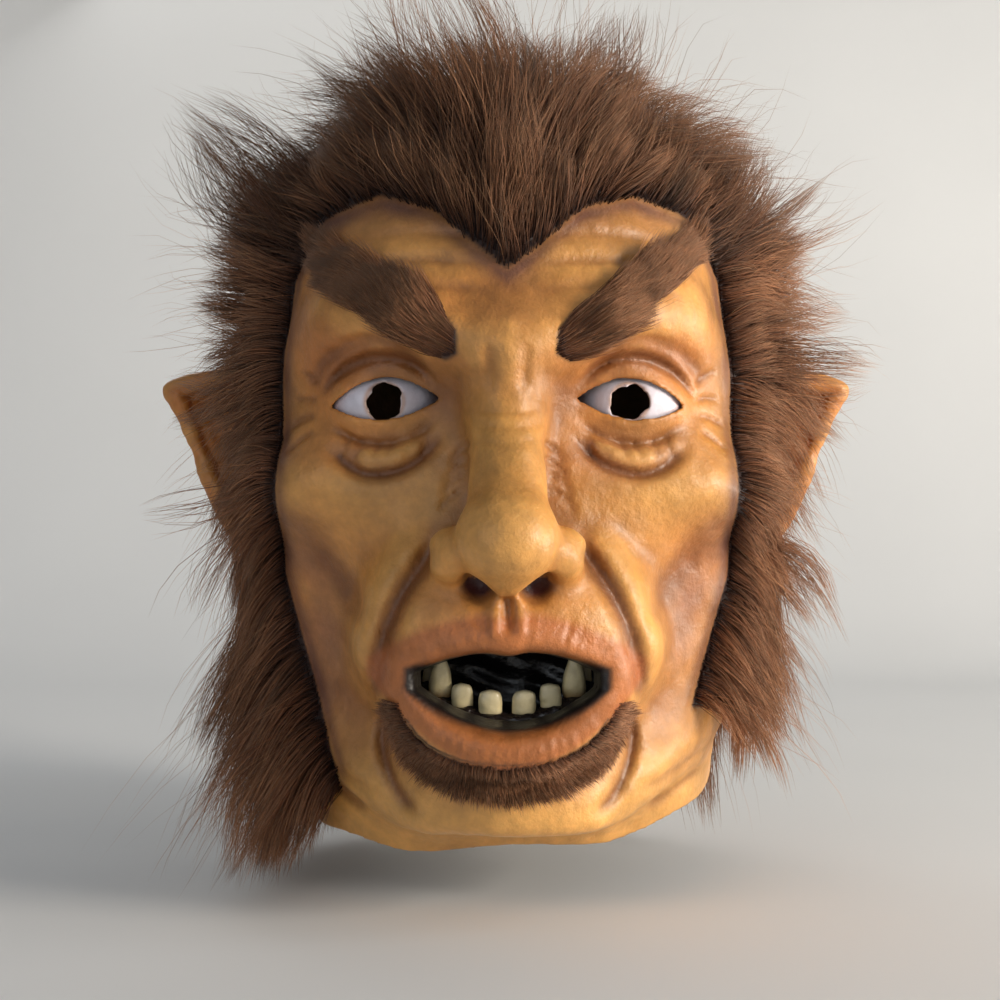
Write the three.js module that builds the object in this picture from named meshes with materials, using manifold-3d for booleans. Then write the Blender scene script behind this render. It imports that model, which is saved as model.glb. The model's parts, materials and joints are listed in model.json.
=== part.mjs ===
// Full-head latex creature mask with glued faux fur, ears, eye shells and teeth.
// Millimetres, +Z up, the face looks along -Y. The origin is the centre of the head cavity:
// at the height of the eye holes, midway between the ears. Left and right are the wearer's.
import * as THREE from 'three';
import { mergeVertices } from 'three/addons/utils/BufferGeometryUtils.js';
import Module from 'manifold-3d';

const wasm = await Module();
wasm.setup();

// Head
const LATEX = 2; // thickness of the cast latex
const GAP = 0.3; // clearance between glued pieces
const CROWN = 102; // top of the latex above the eye line
const NECK_END = -142; // bottom of the uncut casting
const COLUMNS = 36; // faces around the head
const VAULT_ROWS = 8; // faces from the crown to the brow
const FACE_ROWS = 18; // faces from the brow to the end of the neck
const FRONT_CROWDING = 0.5; // how much the columns crowd together towards the face
const BOXINESS = 0.92; // exponent of each level's outline, 1 is an ellipse

// Hem: a slanted knife cut, lower at the front and a little lower on the right
const HEM_HEIGHT = -117; // under the origin
const HEM_FALL = 0.23; // drop per millimetre towards the face
const HEM_LEAN = 0.07; // drop per millimetre towards the right

// Nose
const NOSE_TOP = -2;
const NOSE_TIP = -40;
const NOSE_BASE = -52;
const NOSE_REACH = 31;
const NOSE_ROUNDING = 4; // height over which the tip turns under
const NOSE_FLARE = 1.3; // half width of the nose where it meets the face, per half width given
const BRIDGE_WIDTH = 8;
const NOSTRIL_WIDTH = 17;
const NOSTRIL = { x: 8.5, y: -112, across: 8, deep: 7, length: 24 };

// Eyes and mouth
const EYE = { x: 35, z: 0, halfWidth: 15.5, halfHeight: 7.5, holeRadius: 5.5 };
const EYE_SHELL = { y: -78, halfWidth: 20, depth: 14, halfHeight: 13, thickness: 1.8 };
const MOUTH = { z: -80, halfWidth: 26, halfHeight: 11 };
const LINING = { y: -86, z: -82, halfWidth: 38, depth: 25, halfHeight: 23, thickness: 1.8 };
const GUM = { z: -93, y: -88.5, radius: 23.5, thickness: 3, squash: 0.5, rise: 7, spread: 0.42 };
const TOOTH_GAP = 0.3;
const SLOPE_LIFT = 2.1; // keeps a flat tooth root clear of the rising gum
const TOOTH_BELLY = 0.4; // share of a tooth's height where it is widest
const TOOTH_SHOULDER = 0.8; // share of its height where the top starts
const TEETH = [
  { name: 'inner_incisor', place: 0.15, height: 7.5, root: 2.5, belly: 3.0, top: 2.3, deep: 0.6 },
  { name: 'outer_incisor', place: 0.43, height: 7.5, root: 2.4, belly: 2.8, top: 2.1, deep: 0.6 },
  { name: 'fang', place: 0.72, height: 13.5, root: 2.3, belly: 3.1, top: 0.7, deep: 0.75 },
  { name: 'back_tooth', place: 1, height: 6.5, root: 1.4, belly: 1.6, top: 1.0, deep: 0.75 },
];

// Ears
const EAR = { thick: 8, bevel: 1.5, sweep: 0.18, front: -6 };
const EAR_CLEARANCE = 1; // room for the ear in the fur
const CONCHA = { x: 99, z: -9, halfWidth: 9, halfHeight: 17, depth: 4.5 };

// Fur depth above the latex, from the hairline to the full pile
const PILE = { edge: 5, crown: 17, side: 25, back: 22 };
const PILE_FRONT = { start: -98, full: -52 }; // depths between which the pile deepens from its edge
const PILE_TOP = { start: 30, full: 90 }; // heights between which the side pile becomes the crown's
const PILE_BEHIND = 70; // how far back the side pile becomes the back's
const EAR_DIP = { z: -8, height: 34, depth: 10 }; // the pile lies flatter around the ears
const BROW_PILE = 7;
const CHIN_PILE = 5.5;
const CHIN_STRIP = { z: -86, outer: [34, 24], inner: [27, 15] }; // half widths and half heights
const CROWN_SEAM = 40; // height where the crown panel meets the others
const NAPE_SEAM = 26; // how far back the side panels meet the nape panel
const SIDE_START = 50; // the side panels lie outside this half width
const LEFT_FUR_END = -88;
const RIGHT_FUR_END = -122;

const FAR = 400; // beyond every part of the mask
const BEHIND_FACE = -60; // depth that is behind the front wall and in front of the head's middle
const BEHIND_TEMPLES = -20; // depth where the fur on the face and the hairline cut end
const ROUND = { around: 18, rows: 12 }; // faces of a small ellipsoid

const root = new THREE.Group();

const MATERIALS = {
  latex: new THREE.MeshStandardMaterial({ color: 0xd2904e, roughness: 0.45, metalness: 0 }),
  white: new THREE.MeshStandardMaterial({ color: 0xe6e0ea, roughness: 0.4, metalness: 0 }),
  black: new THREE.MeshStandardMaterial({ color: 0x0d0b0b, roughness: 0.25, metalness: 0 }),
  tooth: new THREE.MeshStandardMaterial({ color: 0xe0d69a, roughness: 0.4, metalness: 0 }),
  fur: new THREE.MeshStandardMaterial({ color: 0x5a4238, roughness: 0.9, metalness: 0 }),
};

// ---- solids ----

function solidFrom(geometry) {
  const bare = geometry.clone();
  for (const name of Object.keys(bare.attributes)) {
    if (name !== 'position') bare.deleteAttribute(name);
  }
  const welded = mergeVertices(bare, 1e-3);
  return new wasm.Manifold(new wasm.Mesh({
    numProp: 3,
    vertProperties: new Float32Array(welded.attributes.position.array),
    triVerts: new Uint32Array(welded.index.array),
  }));
}

function add(name, solid, material) {
  const mesh = solid.getMesh();
  const geometry = new THREE.BufferGeometry();
  geometry.setAttribute('position', new THREE.BufferAttribute(mesh.vertProperties, 3));
  geometry.setIndex(new THREE.BufferAttribute(mesh.triVerts, 1));
  geometry.computeVertexNormals();
  const part = new THREE.Mesh(geometry, material.clone());
  part.name = name;
  root.add(part);
}

function box(low, high) {
  const size = high.map((value, i) => value - low[i]);
  const geometry = new THREE.BoxGeometry(...size);
  geometry.translate(...low.map((value, i) => value + size[i] / 2));
  return solidFrom(geometry);
}

function ellipsoid(centre, halves) {
  const geometry = new THREE.SphereGeometry(1, ROUND.around, ROUND.rows);
  geometry.scale(...halves);
  geometry.translate(...centre);
  return solidFrom(geometry);
}

// A prism of a front-view outline (x right, y of the shape is height), between two depths
function prism(shape, front, back) {
  const geometry = new THREE.ExtrudeGeometry(shape, {
    depth: back - front,
    curveSegments: 6,
    bevelEnabled: false,
  });
  geometry.rotateX(Math.PI / 2);
  geometry.translate(0, back, 0);
  return solidFrom(geometry);
}

function ellipseShape(x, z, halfWidth, halfHeight) {
  const shape = new THREE.Shape();
  shape.absellipse(x, z, halfWidth, halfHeight, 0, 2 * Math.PI, false, 0);
  return shape;
}

// ---- head ----

const vector = (x, y) => new THREE.Vector2(x, y);

// Depth and height of the face's midline, from the brow down to the end of the neck
const FACE_LINE = new THREE.SplineCurve([
  vector(-97, 18), vector(-91, -2), vector(-94, -28), vector(-99, -58),
  vector(-98, -88), vector(-93, -114), vector(-66, -130), vector(-60, NECK_END),
]);
// Half width and height of the sides
const SIDE_LINE = new THREE.SplineCurve([
  vector(83, 12), vector(82.5, -6), vector(80, -30), vector(76.5, -56),
  vector(71.5, -82), vector(68, -104), vector(66.5, -124), vector(66, NECK_END),
]);
// Depth and height of the back
const BACK_LINE = new THREE.SplineCurve([
  vector(97, 20), vector(95, -2), vector(88, -28), vector(77, -56),
  vector(68, -82), vector(63, -106), vector(60, -124), vector(59, NECK_END),
]);

function smooth(low, high, value) {
  return THREE.MathUtils.smoothstep(value, low, high);
}

// The point on a line's quarter arc over the crown (share 0 to 1), or below it (1 to 2)
function linePoint(line, share) {
  if (share >= 1) return line.getPoint(share - 1);
  const start = line.getPoint(0);
  const angle = share * Math.PI / 2;
  return vector(start.x * Math.sin(angle), start.y + (CROWN - start.y) * Math.cos(angle));
}

// How far the nose stands out from the face at a place on its front
function noseReach(x, z) {
  const height = z > NOSE_TIP
    ? 1 - smooth(NOSE_TIP, NOSE_TOP, z)
    : smooth(NOSE_BASE, NOSE_TIP - NOSE_ROUNDING, z);
  const width = THREE.MathUtils.mapLinear(z, NOSE_TOP, NOSE_TIP, BRIDGE_WIDTH, NOSTRIL_WIDTH);
  const across = Math.min(1, Math.abs(x) / (NOSE_FLARE * width));
  return NOSE_REACH * height * (1 - across * across);
}

function headPoint(column, row) {
  const turn = 2 * Math.PI * column / COLUMNS - Math.PI;
  const azimuth = turn - FRONT_CROWDING * Math.sin(turn);
  const share = row <= VAULT_ROWS ? row / VAULT_ROWS : 1 + (row - VAULT_ROWS) / FACE_ROWS;
  if (share >= 2) return new THREE.Vector3(0, 0, NECK_END);
  const side = linePoint(SIDE_LINE, share);
  const along = Math.cos(azimuth);
  const middle = linePoint(along > 0 ? FACE_LINE : BACK_LINE, share);
  const reach = Math.abs(along) ** BOXINESS;
  const x = side.x * Math.sign(Math.sin(azimuth)) * Math.abs(Math.sin(azimuth)) ** BOXINESS;
  const y = middle.x * reach;
  const z = THREE.MathUtils.lerp(side.y, middle.y, along * along);
  return new THREE.Vector3(x, along > 0 ? y - noseReach(x, z) : y, z);
}

// The outer surface of the latex as one welded, indexed geometry
function headSurface() {
  const rows = VAULT_ROWS + FACE_ROWS;
  const geometry = new THREE.SphereGeometry(1, COLUMNS, rows);
  const position = geometry.attributes.position;
  for (let row = 0; row <= rows; row += 1) {
    for (let column = 0; column <= COLUMNS; column += 1) {
      const point = headPoint(column % COLUMNS, row);
      position.setXYZ(row * (COLUMNS + 1) + column, point.x, point.y, point.z);
    }
  }
  geometry.deleteAttribute('normal');
  geometry.deleteAttribute('uv');
  const welded = mergeVertices(geometry, 1e-3);
  welded.computeVertexNormals();
  return welded;
}

const HEAD = headSurface();

// The head's solid, with its surface moved out along its normals by a distance or a function
function headSolid(offset) {
  const geometry = HEAD.clone();
  const { position, normal } = geometry.attributes;
  const point = new THREE.Vector3();
  const out = new THREE.Vector3();
  for (let i = 0; i < position.count; i += 1) {
    point.fromBufferAttribute(position, i);
    out.fromBufferAttribute(normal, i);
    point.addScaledVector(out, typeof offset === 'function' ? offset(point) : offset);
    position.setXYZ(i, point.x, point.y, point.z);
  }
  return solidFrom(geometry);
}

// Everything below the knife cut, lowered by a distance
function belowHem() {
  const geometry = new THREE.BoxGeometry(FAR, FAR, FAR);
  geometry.translate(0, 0, -FAR / 2);
  geometry.rotateX(Math.atan(HEM_FALL));
  geometry.rotateY(-Math.atan(HEM_LEAN));
  geometry.translate(0, 0, HEM_HEIGHT);
  return solidFrom(geometry);
}

function makeSkin() {
  let skin = headSolid(0).subtract(headSolid(-LATEX)).subtract(belowHem());
  for (const side of [-1, 1]) {
    const eye = ellipseShape(side * EYE.x, EYE.z, EYE.halfWidth, EYE.halfHeight);
    const radius = NOSTRIL.across / 2;
    const nostril = new THREE.CylinderGeometry(radius, radius, NOSTRIL.length, ROUND.rows);
    nostril.rotateX(Math.PI / 2);
    nostril.scale(1, NOSTRIL.deep / NOSTRIL.across, 1);
    nostril.translate(side * NOSTRIL.x, NOSTRIL.y, NOSE_BASE - 1);
    skin = skin.subtract(prism(eye, -FAR, BEHIND_FACE)).subtract(solidFrom(nostril));
  }
  const mouth = ellipseShape(0, MOUTH.z, MOUTH.halfWidth, MOUTH.halfHeight);
  add('latex_skin', skin.subtract(prism(mouth, -FAR, BEHIND_FACE)), MATERIALS.latex);
}

// ---- behind the openings ----

const insideLatex = headSolid(-LATEX - GAP);

// An ellipsoid's thin wall, cut to lie behind the latex
function cup(centre, halves, thickness) {
  const hollow = halves.map((half) => half - thickness);
  return ellipsoid(centre, halves).subtract(ellipsoid(centre, hollow)).intersect(insideLatex);
}

function makeEye(name, side) {
  const centre = [side * EYE.x, EYE_SHELL.y, EYE.z];
  const halves = [EYE_SHELL.halfWidth, EYE_SHELL.depth, EYE_SHELL.halfHeight];
  const shell = cup(centre, halves, EYE_SHELL.thickness);
  const front = box([-FAR, -FAR, -FAR], [FAR, EYE_SHELL.y, FAR]);
  const round = ellipseShape(side * EYE.x, EYE.z, EYE.holeRadius, EYE.holeRadius);
  const hole = prism(round, -FAR, BEHIND_FACE);
  add(name, shell.intersect(front).subtract(hole), MATERIALS.white);
}

function makeLining() {
  const halves = [LINING.halfWidth, LINING.depth, LINING.halfHeight];
  add('mouth_lining', cup([0, LINING.y, LINING.z], halves, LINING.thickness), MATERIALS.black);
}

// ---- gum and teeth ----

// The gum's arc behind the lower lip, seen from above: 0 is the middle, 1 is its left end
function gumPoint(share) {
  const angle = share * Math.PI * GUM.spread;
  return new THREE.Vector3(
    GUM.radius * Math.sin(angle),
    GUM.y + GUM.squash * GUM.radius * (1 - Math.cos(angle)),
    GUM.z + GUM.rise * share * share,
  );
}

function makeGum() {
  const points = [-1, -0.66, -0.33, 0, 0.33, 0.66, 1].map(gumPoint);
  const section = new THREE.Shape();
  section.absellipse(0, 0, GUM.thickness, GUM.thickness, 0, 2 * Math.PI, false, 0);
  const geometry = new THREE.ExtrudeGeometry(section, {
    steps: 12,
    curveSegments: 4,
    bevelEnabled: false,
    extrudePath: new THREE.CatmullRomCurve3(points),
  });
  add('lower_gum', solidFrom(geometry), MATERIALS.black);
}

// A tooth turned about its own axis, then flattened: half widths at its root, belly and top
function makeTooth(name, place, height, root, belly, top, deep) {
  const profile = [
    vector(0, 0), vector(root, 0), vector(belly, TOOTH_BELLY * height),
    vector((belly + top) / 2, TOOTH_SHOULDER * height), vector(top, height), vector(0, height),
  ];
  const geometry = new THREE.LatheGeometry(profile, 10);
  geometry.rotateX(Math.PI / 2);
  geometry.scale(1, deep, 1);
  const foot = gumPoint(place);
  const lift = TOOTH_GAP + SLOPE_LIFT * Math.abs(place);
  geometry.translate(foot.x, foot.y, foot.z + GUM.thickness + lift);
  add(name, solidFrom(geometry), MATERIALS.tooth);
}

function makeTeeth() {
  for (const [prefix, side] of [['left', 1], ['right', -1]]) {
    for (const { name, place, height, root: foot, belly, top, deep } of TEETH) {
      makeTooth(`${prefix}_${name}`, side * place, height, foot, belly, top, deep);
    }
  }
}

// ---- ears ----

// Front outline of the left ear: pointed tip out and up, lobe below, root buried in the head
function earShape() {
  const shape = new THREE.Shape();
  shape.moveTo(76, 15);
  shape.quadraticCurveTo(98, 20, 116, 9);
  shape.quadraticCurveTo(110, -14, 101, -32);
  shape.quadraticCurveTo(97, -42, 90, -40);
  shape.lineTo(76, -36);
  return shape;
}

// The ear in place on the left side, grown all round by a clearance
function earGeometry(grow) {
  const bevel = EAR.bevel + grow;
  const front = EAR.front - grow;
  const back = front + EAR.thick - 2 * EAR.bevel;
  const geometry = new THREE.ExtrudeGeometry(earShape(), {
    depth: back - front,
    curveSegments: 4,
    bevelSize: bevel,
    bevelThickness: bevel,
    bevelSegments: 1,
  });
  geometry.rotateX(Math.PI / 2);
  geometry.translate(0, back, 0);
  geometry.rotateZ(EAR.sweep);
  return geometry;
}

function onSide(geometry, side) {
  const solid = solidFrom(geometry);
  return side > 0 ? solid : solid.mirror([1, 0, 0]);
}

function makeEar(name, side) {
  const hollow = new THREE.SphereGeometry(1, 16, 10);
  hollow.scale(CONCHA.halfWidth, CONCHA.depth, CONCHA.halfHeight);
  hollow.translate(CONCHA.x, EAR.front - EAR.bevel, CONCHA.z);
  hollow.rotateZ(EAR.sweep);
  const ear = onSide(earGeometry(0), side).subtract(onSide(hollow, side));
  add(name, ear.subtract(headSolid(GAP)), MATERIALS.latex);
}

// ---- fur ----

// Half of the hairline in front view, from beside the widow's peak round to the temple
const HAIRLINE = [
  vector(9, 43), vector(22, 55), vector(37, 60), vector(54, 55), vector(64, 38), vector(67, 10),
];
const PEAK = 36; // height of the widow's peak
const SIDEBURN = { top: -50, bottomHalfWidth: 58 };

// The bare face in front view, inside the hairline: a widow's peak between two high arcs
function hairlineShape() {
  const leftHalf = HAIRLINE.map((point) => point.clone());
  const rightHalf = HAIRLINE.map((point) => vector(-point.x, point.y)).reverse();
  const temple = HAIRLINE[HAIRLINE.length - 1].x;
  const shape = new THREE.Shape();
  shape.moveTo(0, PEAK);
  shape.splineThru(leftHalf);
  shape.lineTo(temple, SIDEBURN.top);
  shape.lineTo(SIDEBURN.bottomHalfWidth, -FAR);
  shape.lineTo(-SIDEBURN.bottomHalfWidth, -FAR);
  shape.lineTo(-temple, SIDEBURN.top);
  shape.lineTo(-temple, rightHalf[0].y);
  shape.splineThru(rightHalf.slice(1));
  shape.lineTo(0, PEAK);
  return shape;
}

function pile(point) {
  const top = smooth(PILE_TOP.start, PILE_TOP.full, point.z);
  const back = smooth(0, PILE_BEHIND, point.y);
  const dip = EAR_DIP.depth * Math.exp(-(((point.z - EAR_DIP.z) / EAR_DIP.height) ** 2));
  const around = THREE.MathUtils.lerp(PILE.side - dip, PILE.back, back);
  const full = THREE.MathUtils.lerp(around, PILE.crown, top);
  return THREE.MathUtils.lerp(PILE.edge, full, smooth(PILE_FRONT.start, PILE_FRONT.full, point.y));
}

function makeFur() {
  const bareFace = prism(hairlineShape(), -FAR, BEHIND_TEMPLES);
  const coat = headSolid(pile).subtract(headSolid(GAP)).subtract(bareFace);
  const top = box([-FAR, -FAR, CROWN_SEAM], [FAR, FAR, FAR]);
  const peak = box([-SIDE_START, -FAR, 0], [SIDE_START, 0, CROWN_SEAM + 1]);
  add('crown_fur', coat.intersect(top.add(peak)), MATERIALS.fur);
  for (const [name, side, end] of [['left', 1, LEFT_FUR_END], ['right', -1, RIGHT_FUR_END]]) {
    const [inner, outer] = side > 0 ? [SIDE_START + GAP, FAR] : [-FAR, -SIDE_START - GAP];
    const region = box([inner, -FAR, end], [outer, NAPE_SEAM, CROWN_SEAM - GAP]);
    const panel = coat.intersect(region).subtract(onSide(earGeometry(EAR_CLEARANCE), side));
    add(`${name}_side_fur`, panel, MATERIALS.fur);
  }
  const behind = box([-FAR, NAPE_SEAM + GAP, HEM_HEIGHT], [FAR, FAR, CROWN_SEAM - GAP]);
  add('nape_fur', coat.intersect(behind), MATERIALS.fur);
}

// A strip that lies on the face inside a front-view outline
function faceStrip(name, shape, depth) {
  const layer = headSolid(depth).subtract(headSolid(GAP));
  add(name, layer.intersect(prism(shape, -FAR, BEHIND_TEMPLES)), MATERIALS.fur);
}

function browShape(side) {
  const shape = new THREE.Shape();
  shape.moveTo(side * 14, 10);
  shape.quadraticCurveTo(side * 34, 18, side * 55, 37);
  shape.lineTo(side * 51, 49);
  shape.quadraticCurveTo(side * 30, 34, side * 14, 19);
  return shape;
}

function chinShape() {
  const { z, outer, inner } = CHIN_STRIP;
  const shape = new THREE.Shape();
  shape.absellipse(0, z, outer[0], outer[1], Math.PI, 2 * Math.PI, false, 0);
  shape.lineTo(inner[0], z);
  shape.absellipse(0, z, inner[0], inner[1], 2 * Math.PI, Math.PI, true, 0);
  return shape;
}

makeSkin();
makeEar('left_ear', 1);
makeEar('right_ear', -1);
makeEye('left_eye_white', 1);
makeEye('right_eye_white', -1);
makeLining();
makeGum();
makeTeeth();
makeFur();
faceStrip('left_brow_fur', browShape(1), BROW_PILE);
faceStrip('right_brow_fur', browShape(-1), BROW_PILE);
faceStrip('chin_fur', chinShape(), CHIN_PILE);

export default root;
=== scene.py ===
"""Latex creature mask with faux fur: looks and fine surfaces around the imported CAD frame.
Sculpting is done in millimetres on distance fields, and meshes are written in metres."""

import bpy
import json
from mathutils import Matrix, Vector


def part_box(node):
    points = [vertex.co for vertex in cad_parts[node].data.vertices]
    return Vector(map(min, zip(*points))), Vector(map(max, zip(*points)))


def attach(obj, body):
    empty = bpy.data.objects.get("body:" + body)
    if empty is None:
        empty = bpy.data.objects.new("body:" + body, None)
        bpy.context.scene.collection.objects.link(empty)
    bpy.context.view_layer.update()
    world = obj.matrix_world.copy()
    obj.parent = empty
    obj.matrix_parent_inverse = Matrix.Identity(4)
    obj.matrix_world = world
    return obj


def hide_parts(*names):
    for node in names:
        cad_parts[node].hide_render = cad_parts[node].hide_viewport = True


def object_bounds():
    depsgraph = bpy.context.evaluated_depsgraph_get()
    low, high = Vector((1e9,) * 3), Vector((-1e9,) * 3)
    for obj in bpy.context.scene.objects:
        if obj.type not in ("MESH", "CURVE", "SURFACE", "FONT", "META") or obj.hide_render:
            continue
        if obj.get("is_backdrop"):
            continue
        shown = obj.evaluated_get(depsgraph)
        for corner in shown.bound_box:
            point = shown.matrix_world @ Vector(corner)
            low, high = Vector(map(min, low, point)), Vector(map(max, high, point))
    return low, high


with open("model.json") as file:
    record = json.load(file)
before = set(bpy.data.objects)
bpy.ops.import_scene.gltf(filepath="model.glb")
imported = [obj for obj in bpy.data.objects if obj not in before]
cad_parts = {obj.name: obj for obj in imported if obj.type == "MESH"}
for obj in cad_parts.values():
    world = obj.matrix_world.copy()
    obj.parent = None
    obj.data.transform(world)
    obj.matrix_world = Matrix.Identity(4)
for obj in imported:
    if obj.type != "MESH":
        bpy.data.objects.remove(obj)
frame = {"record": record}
CAD_BOX = [list(corner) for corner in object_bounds()]

import json
import math

import bpy
import numpy as np
import openvdb
from mathutils import Vector

MM = 0.001
SEED = 20261
VOXEL = 1.0          # step of the head's distance field
HAIR_SHARE = 1.0    # share of the strands that is grown
FAR = 60.0                             # distance that stands for nothing near

# Sizes that follow the frame, in millimetres
def box_mm(node):
    low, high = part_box(node)
    return np.array(low) / MM, np.array(high) / MM

def opening_centre(name):
    openings = frame["record"]["physics"]["openings"]
    box = next(o["box_m"] for o in openings if o["name"] == name)
    return np.mean(np.array(box), axis=0) / MM

HALF_WIDTH, _, CROWN = box_mm("latex_skin")[1]  # half the width at the temples, and the top
EYE = opening_centre("left_eye_hole")  # the eyes' middle, on the left side
EYEBALL_Y = -69.5                      # middle of the dome behind the lids, front to back
LATEX = 2.0                            # thickness of the cast latex
BROW = 16.0                            # height where the vault starts
BOXINESS = 2.17                        # exponent of each level's outline

# Slanted hem: height at the middle, fall towards the face, lean towards the right
HEM_HEIGHT, HEM_FALL, HEM_LEAN = -117.0, 0.23, 0.07

MOUTH = {"z": -80.0, "half_width": 26.0, "half_height": 11.0}


# ---- distance fields ----

def smooth_min(a, b, soft):
    if soft <= 0:
        return np.minimum(a, b)
    h = np.maximum(soft - np.abs(a - b), 0.0) / soft
    return np.minimum(a, b) - h * h * soft * 0.25


def smooth_max(a, b, soft):
    return -smooth_min(-a, -b, soft)


def step_between(low, high, value):
    t = np.clip((value - low) / (high - low), 0.0, 1.0)
    return t * t * (3 - 2 * t)


def ellipsoid(centre, halves, turn=0.0):
    """Distance to an ellipsoid, turned about the X axis by an angle in degrees."""
    c, s = math.cos(math.radians(turn)), math.sin(math.radians(turn))
    reach = max(halves)

    def distance(x, y, z):
        px, py, pz = x - centre[0], y - centre[1], z - centre[2]
        py, pz = c * py + s * pz, c * pz - s * py
        k0 = np.sqrt((px / halves[0]) ** 2 + (py / halves[1]) ** 2 + (pz / halves[2]) ** 2)
        k1 = np.sqrt((px / halves[0] ** 2) ** 2 + (py / halves[1] ** 2) ** 2 + (pz / halves[2] ** 2) ** 2)
        return k0 * (k0 - 1.0) / np.maximum(k1, 1e-6)

    return distance, np.array(centre) - reach, np.array(centre) + reach


def curve_points(points, count=14):
    """A Catmull-Rom curve through a few points."""
    p = np.array(points, float)
    p = np.vstack([2 * p[0] - p[1], p, 2 * p[-1] - p[-2]])
    spans = len(p) - 3
    out = []
    for u in np.linspace(0, spans, count):
        i = min(int(u), spans - 1)
        t = u - i
        a, b, c, d = p[i:i + 4]
        out.append(0.5 * (2 * b + (c - a) * t + (2 * a - 5 * b + 4 * c - d) * t * t
                          + (3 * b - a - 3 * c + d) * t ** 3))
    return np.array(out)


def tube(points, radii, count=14):
    """Distance to a tube whose centre line and radius pass through the given values."""
    path = curve_points([list(p) + [r] for p, r in zip(points, radii)], count)
    reach = path[:, 3].max()

    def distance(x, y, z):
        best = None
        for a, b in zip(path[:-1], path[1:]):
            d = b[:3] - a[:3]
            t = ((x - a[0]) * d[0] + (y - a[1]) * d[1] + (z - a[2]) * d[2]) / max(float(d @ d), 1e-6)
            t = np.clip(t, 0.0, 1.0)
            gap = np.sqrt((x - a[0] - t * d[0]) ** 2 + (y - a[1] - t * d[1]) ** 2
                          + (z - a[2] - t * d[2]) ** 2) - (a[3] + t * (b[3] - a[3]))
            best = gap if best is None else np.minimum(best, gap)
        return best

    return distance, path[:, :3].min(0) - reach, path[:, :3].max(0) + reach


class Clay:
    """A distance field on a regular grid, negative inside, sculpted by adding and carving."""

    def __init__(self, low, high, step):
        self.step = step
        self.low = np.array(low, float)
        self.axes = [np.arange(a, b + step, step, dtype=np.float32) for a, b in zip(low, high)]
        self.field = np.full([len(axis) for axis in self.axes], FAR, np.float32)

    def grid(self, spans=(slice(None),) * 3):
        """The grid's coordinates, shaped so that they combine like the field."""
        x, y, z = [axis[span] for axis, span in zip(self.axes, spans)]
        return x[:, None, None], y[None, :, None], z[None, None, :]

    def places(self):
        """Every place of the grid, one to a row."""
        return np.stack([np.broadcast_to(v, self.field.shape).ravel() for v in self.grid()], 1)

    def window(self, low, high):
        """Where the field lies between two corners, and the coordinates there."""
        spans = tuple(slice(int(np.searchsorted(axis, a)), int(np.searchsorted(axis, b)))
                      for axis, a, b in zip(self.axes, low, high))
        return spans, *self.grid(spans)

    def work(self, shape, soft=0.0, carve=False, both=True):
        """Adds or carves a shape with a soft edge, on both sides of the middle if both is set."""
        distance, low, high = shape
        margin = soft + 6
        for side in ((1, -1) if both else (1,)):
            ends = np.sort([side * low[0], side * high[0]])
            spans, x, y, z = self.window([ends[0] - margin, low[1] - margin, low[2] - margin],
                                         [ends[1] + margin, high[1] + margin, high[2] + margin])
            new = distance(side * x, y, z)
            here = self.field[spans]
            self.field[spans] = smooth_max(here, -new, soft) if carve else smooth_min(here, new, soft)

    def sample(self, points, field, step=None):
        """The value at points of a field that starts at the same corner, by linear interpolation."""
        g = (points - self.low) / (step or self.step)
        g = np.clip(g, 0, np.array(field.shape) - 1.001)
        i = g.astype(int)
        f = g - i
        total = 0
        for dx in (0, 1):
            for dy in (0, 1):
                for dz in (0, 1):
                    weight = np.abs(1 - dx - f[:, 0]) * np.abs(1 - dy - f[:, 1]) * np.abs(1 - dz - f[:, 2])
                    total = total + weight * field[i[:, 0] + dx, i[:, 1] + dy, i[:, 2] + dz]
        return total

    def mesh(self):
        """The zero surface as points in millimetres and quads with their faces out."""
        grid = openvdb.FloatGrid(background=FAR)
        grid.copyFromArray(np.ascontiguousarray(self.field))
        points, quads = grid.convertToQuads(isovalue=0.0)
        points = points * self.step + self.low
        return points.astype(np.float64), quads[:, ::-1].astype(np.int32)


def blurred(field, reach):
    """The field averaged over a box of 2 * reach + 1 cells, twice, along each axis."""
    out = field.astype(np.float32)
    for _ in range(2):
        for axis in range(3):
            pad = [(reach + 1, reach) if i == axis else (0, 0) for i in range(3)]
            total = np.cumsum(np.pad(out, pad, mode="edge"), axis=axis, dtype=np.float64)
            count = 2 * reach + 1
            high = np.take(total, np.arange(count, total.shape[axis]), axis=axis)
            low = np.take(total, np.arange(0, total.shape[axis] - count), axis=axis)
            out = ((high - low) / count).astype(np.float32)
    return out


# ---- the bare head ----

# Half width, depth of the face and depth of the back by height, from the brow to the neck
LEVELS = np.array([
    [BROW, HALF_WIDTH, 97, 97], [-4, HALF_WIDTH, 91.5, 95], [-29, 80, 94, 88], [-57, 76.5, 98.5, 77],
    [-84, 71.5, 98, 68], [-108, 68, 94, 63], [-119, 67, 86, 61], [-127, 66.5, 70, 60], [-142, 66, 60, 59],
])


def head_distance(x, y, z):
    """Rough distance to the head: an egg-shaped vault over lofted levels."""
    heights = np.arange(-160.0, CROWN + 40)
    kernel = np.exp(-0.5 * (np.arange(-12, 13) / 4.5) ** 2)
    kernel /= kernel.sum()
    zc = np.minimum(z, BROW)
    rows = []
    for column in (1, 2, 3):
        line = np.interp(heights, LEVELS[::-1, 0], LEVELS[::-1, column])
        line = np.convolve(np.pad(line, 12, mode="edge"), kernel, mode="valid")
        rows.append(np.interp(zc, heights, line))
    width, face, back = rows
    depth = np.where(y < 0, face, back)
    level = ((np.abs(x) / width) ** BOXINESS + (np.abs(y) / depth) ** BOXINESS) ** (1 / BOXINESS)
    rise = np.maximum(z - BROW, 0) / (CROWN - BROW)
    return (np.sqrt(level ** 2 + rise ** 2) - 1) * np.minimum(width, depth)


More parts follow.
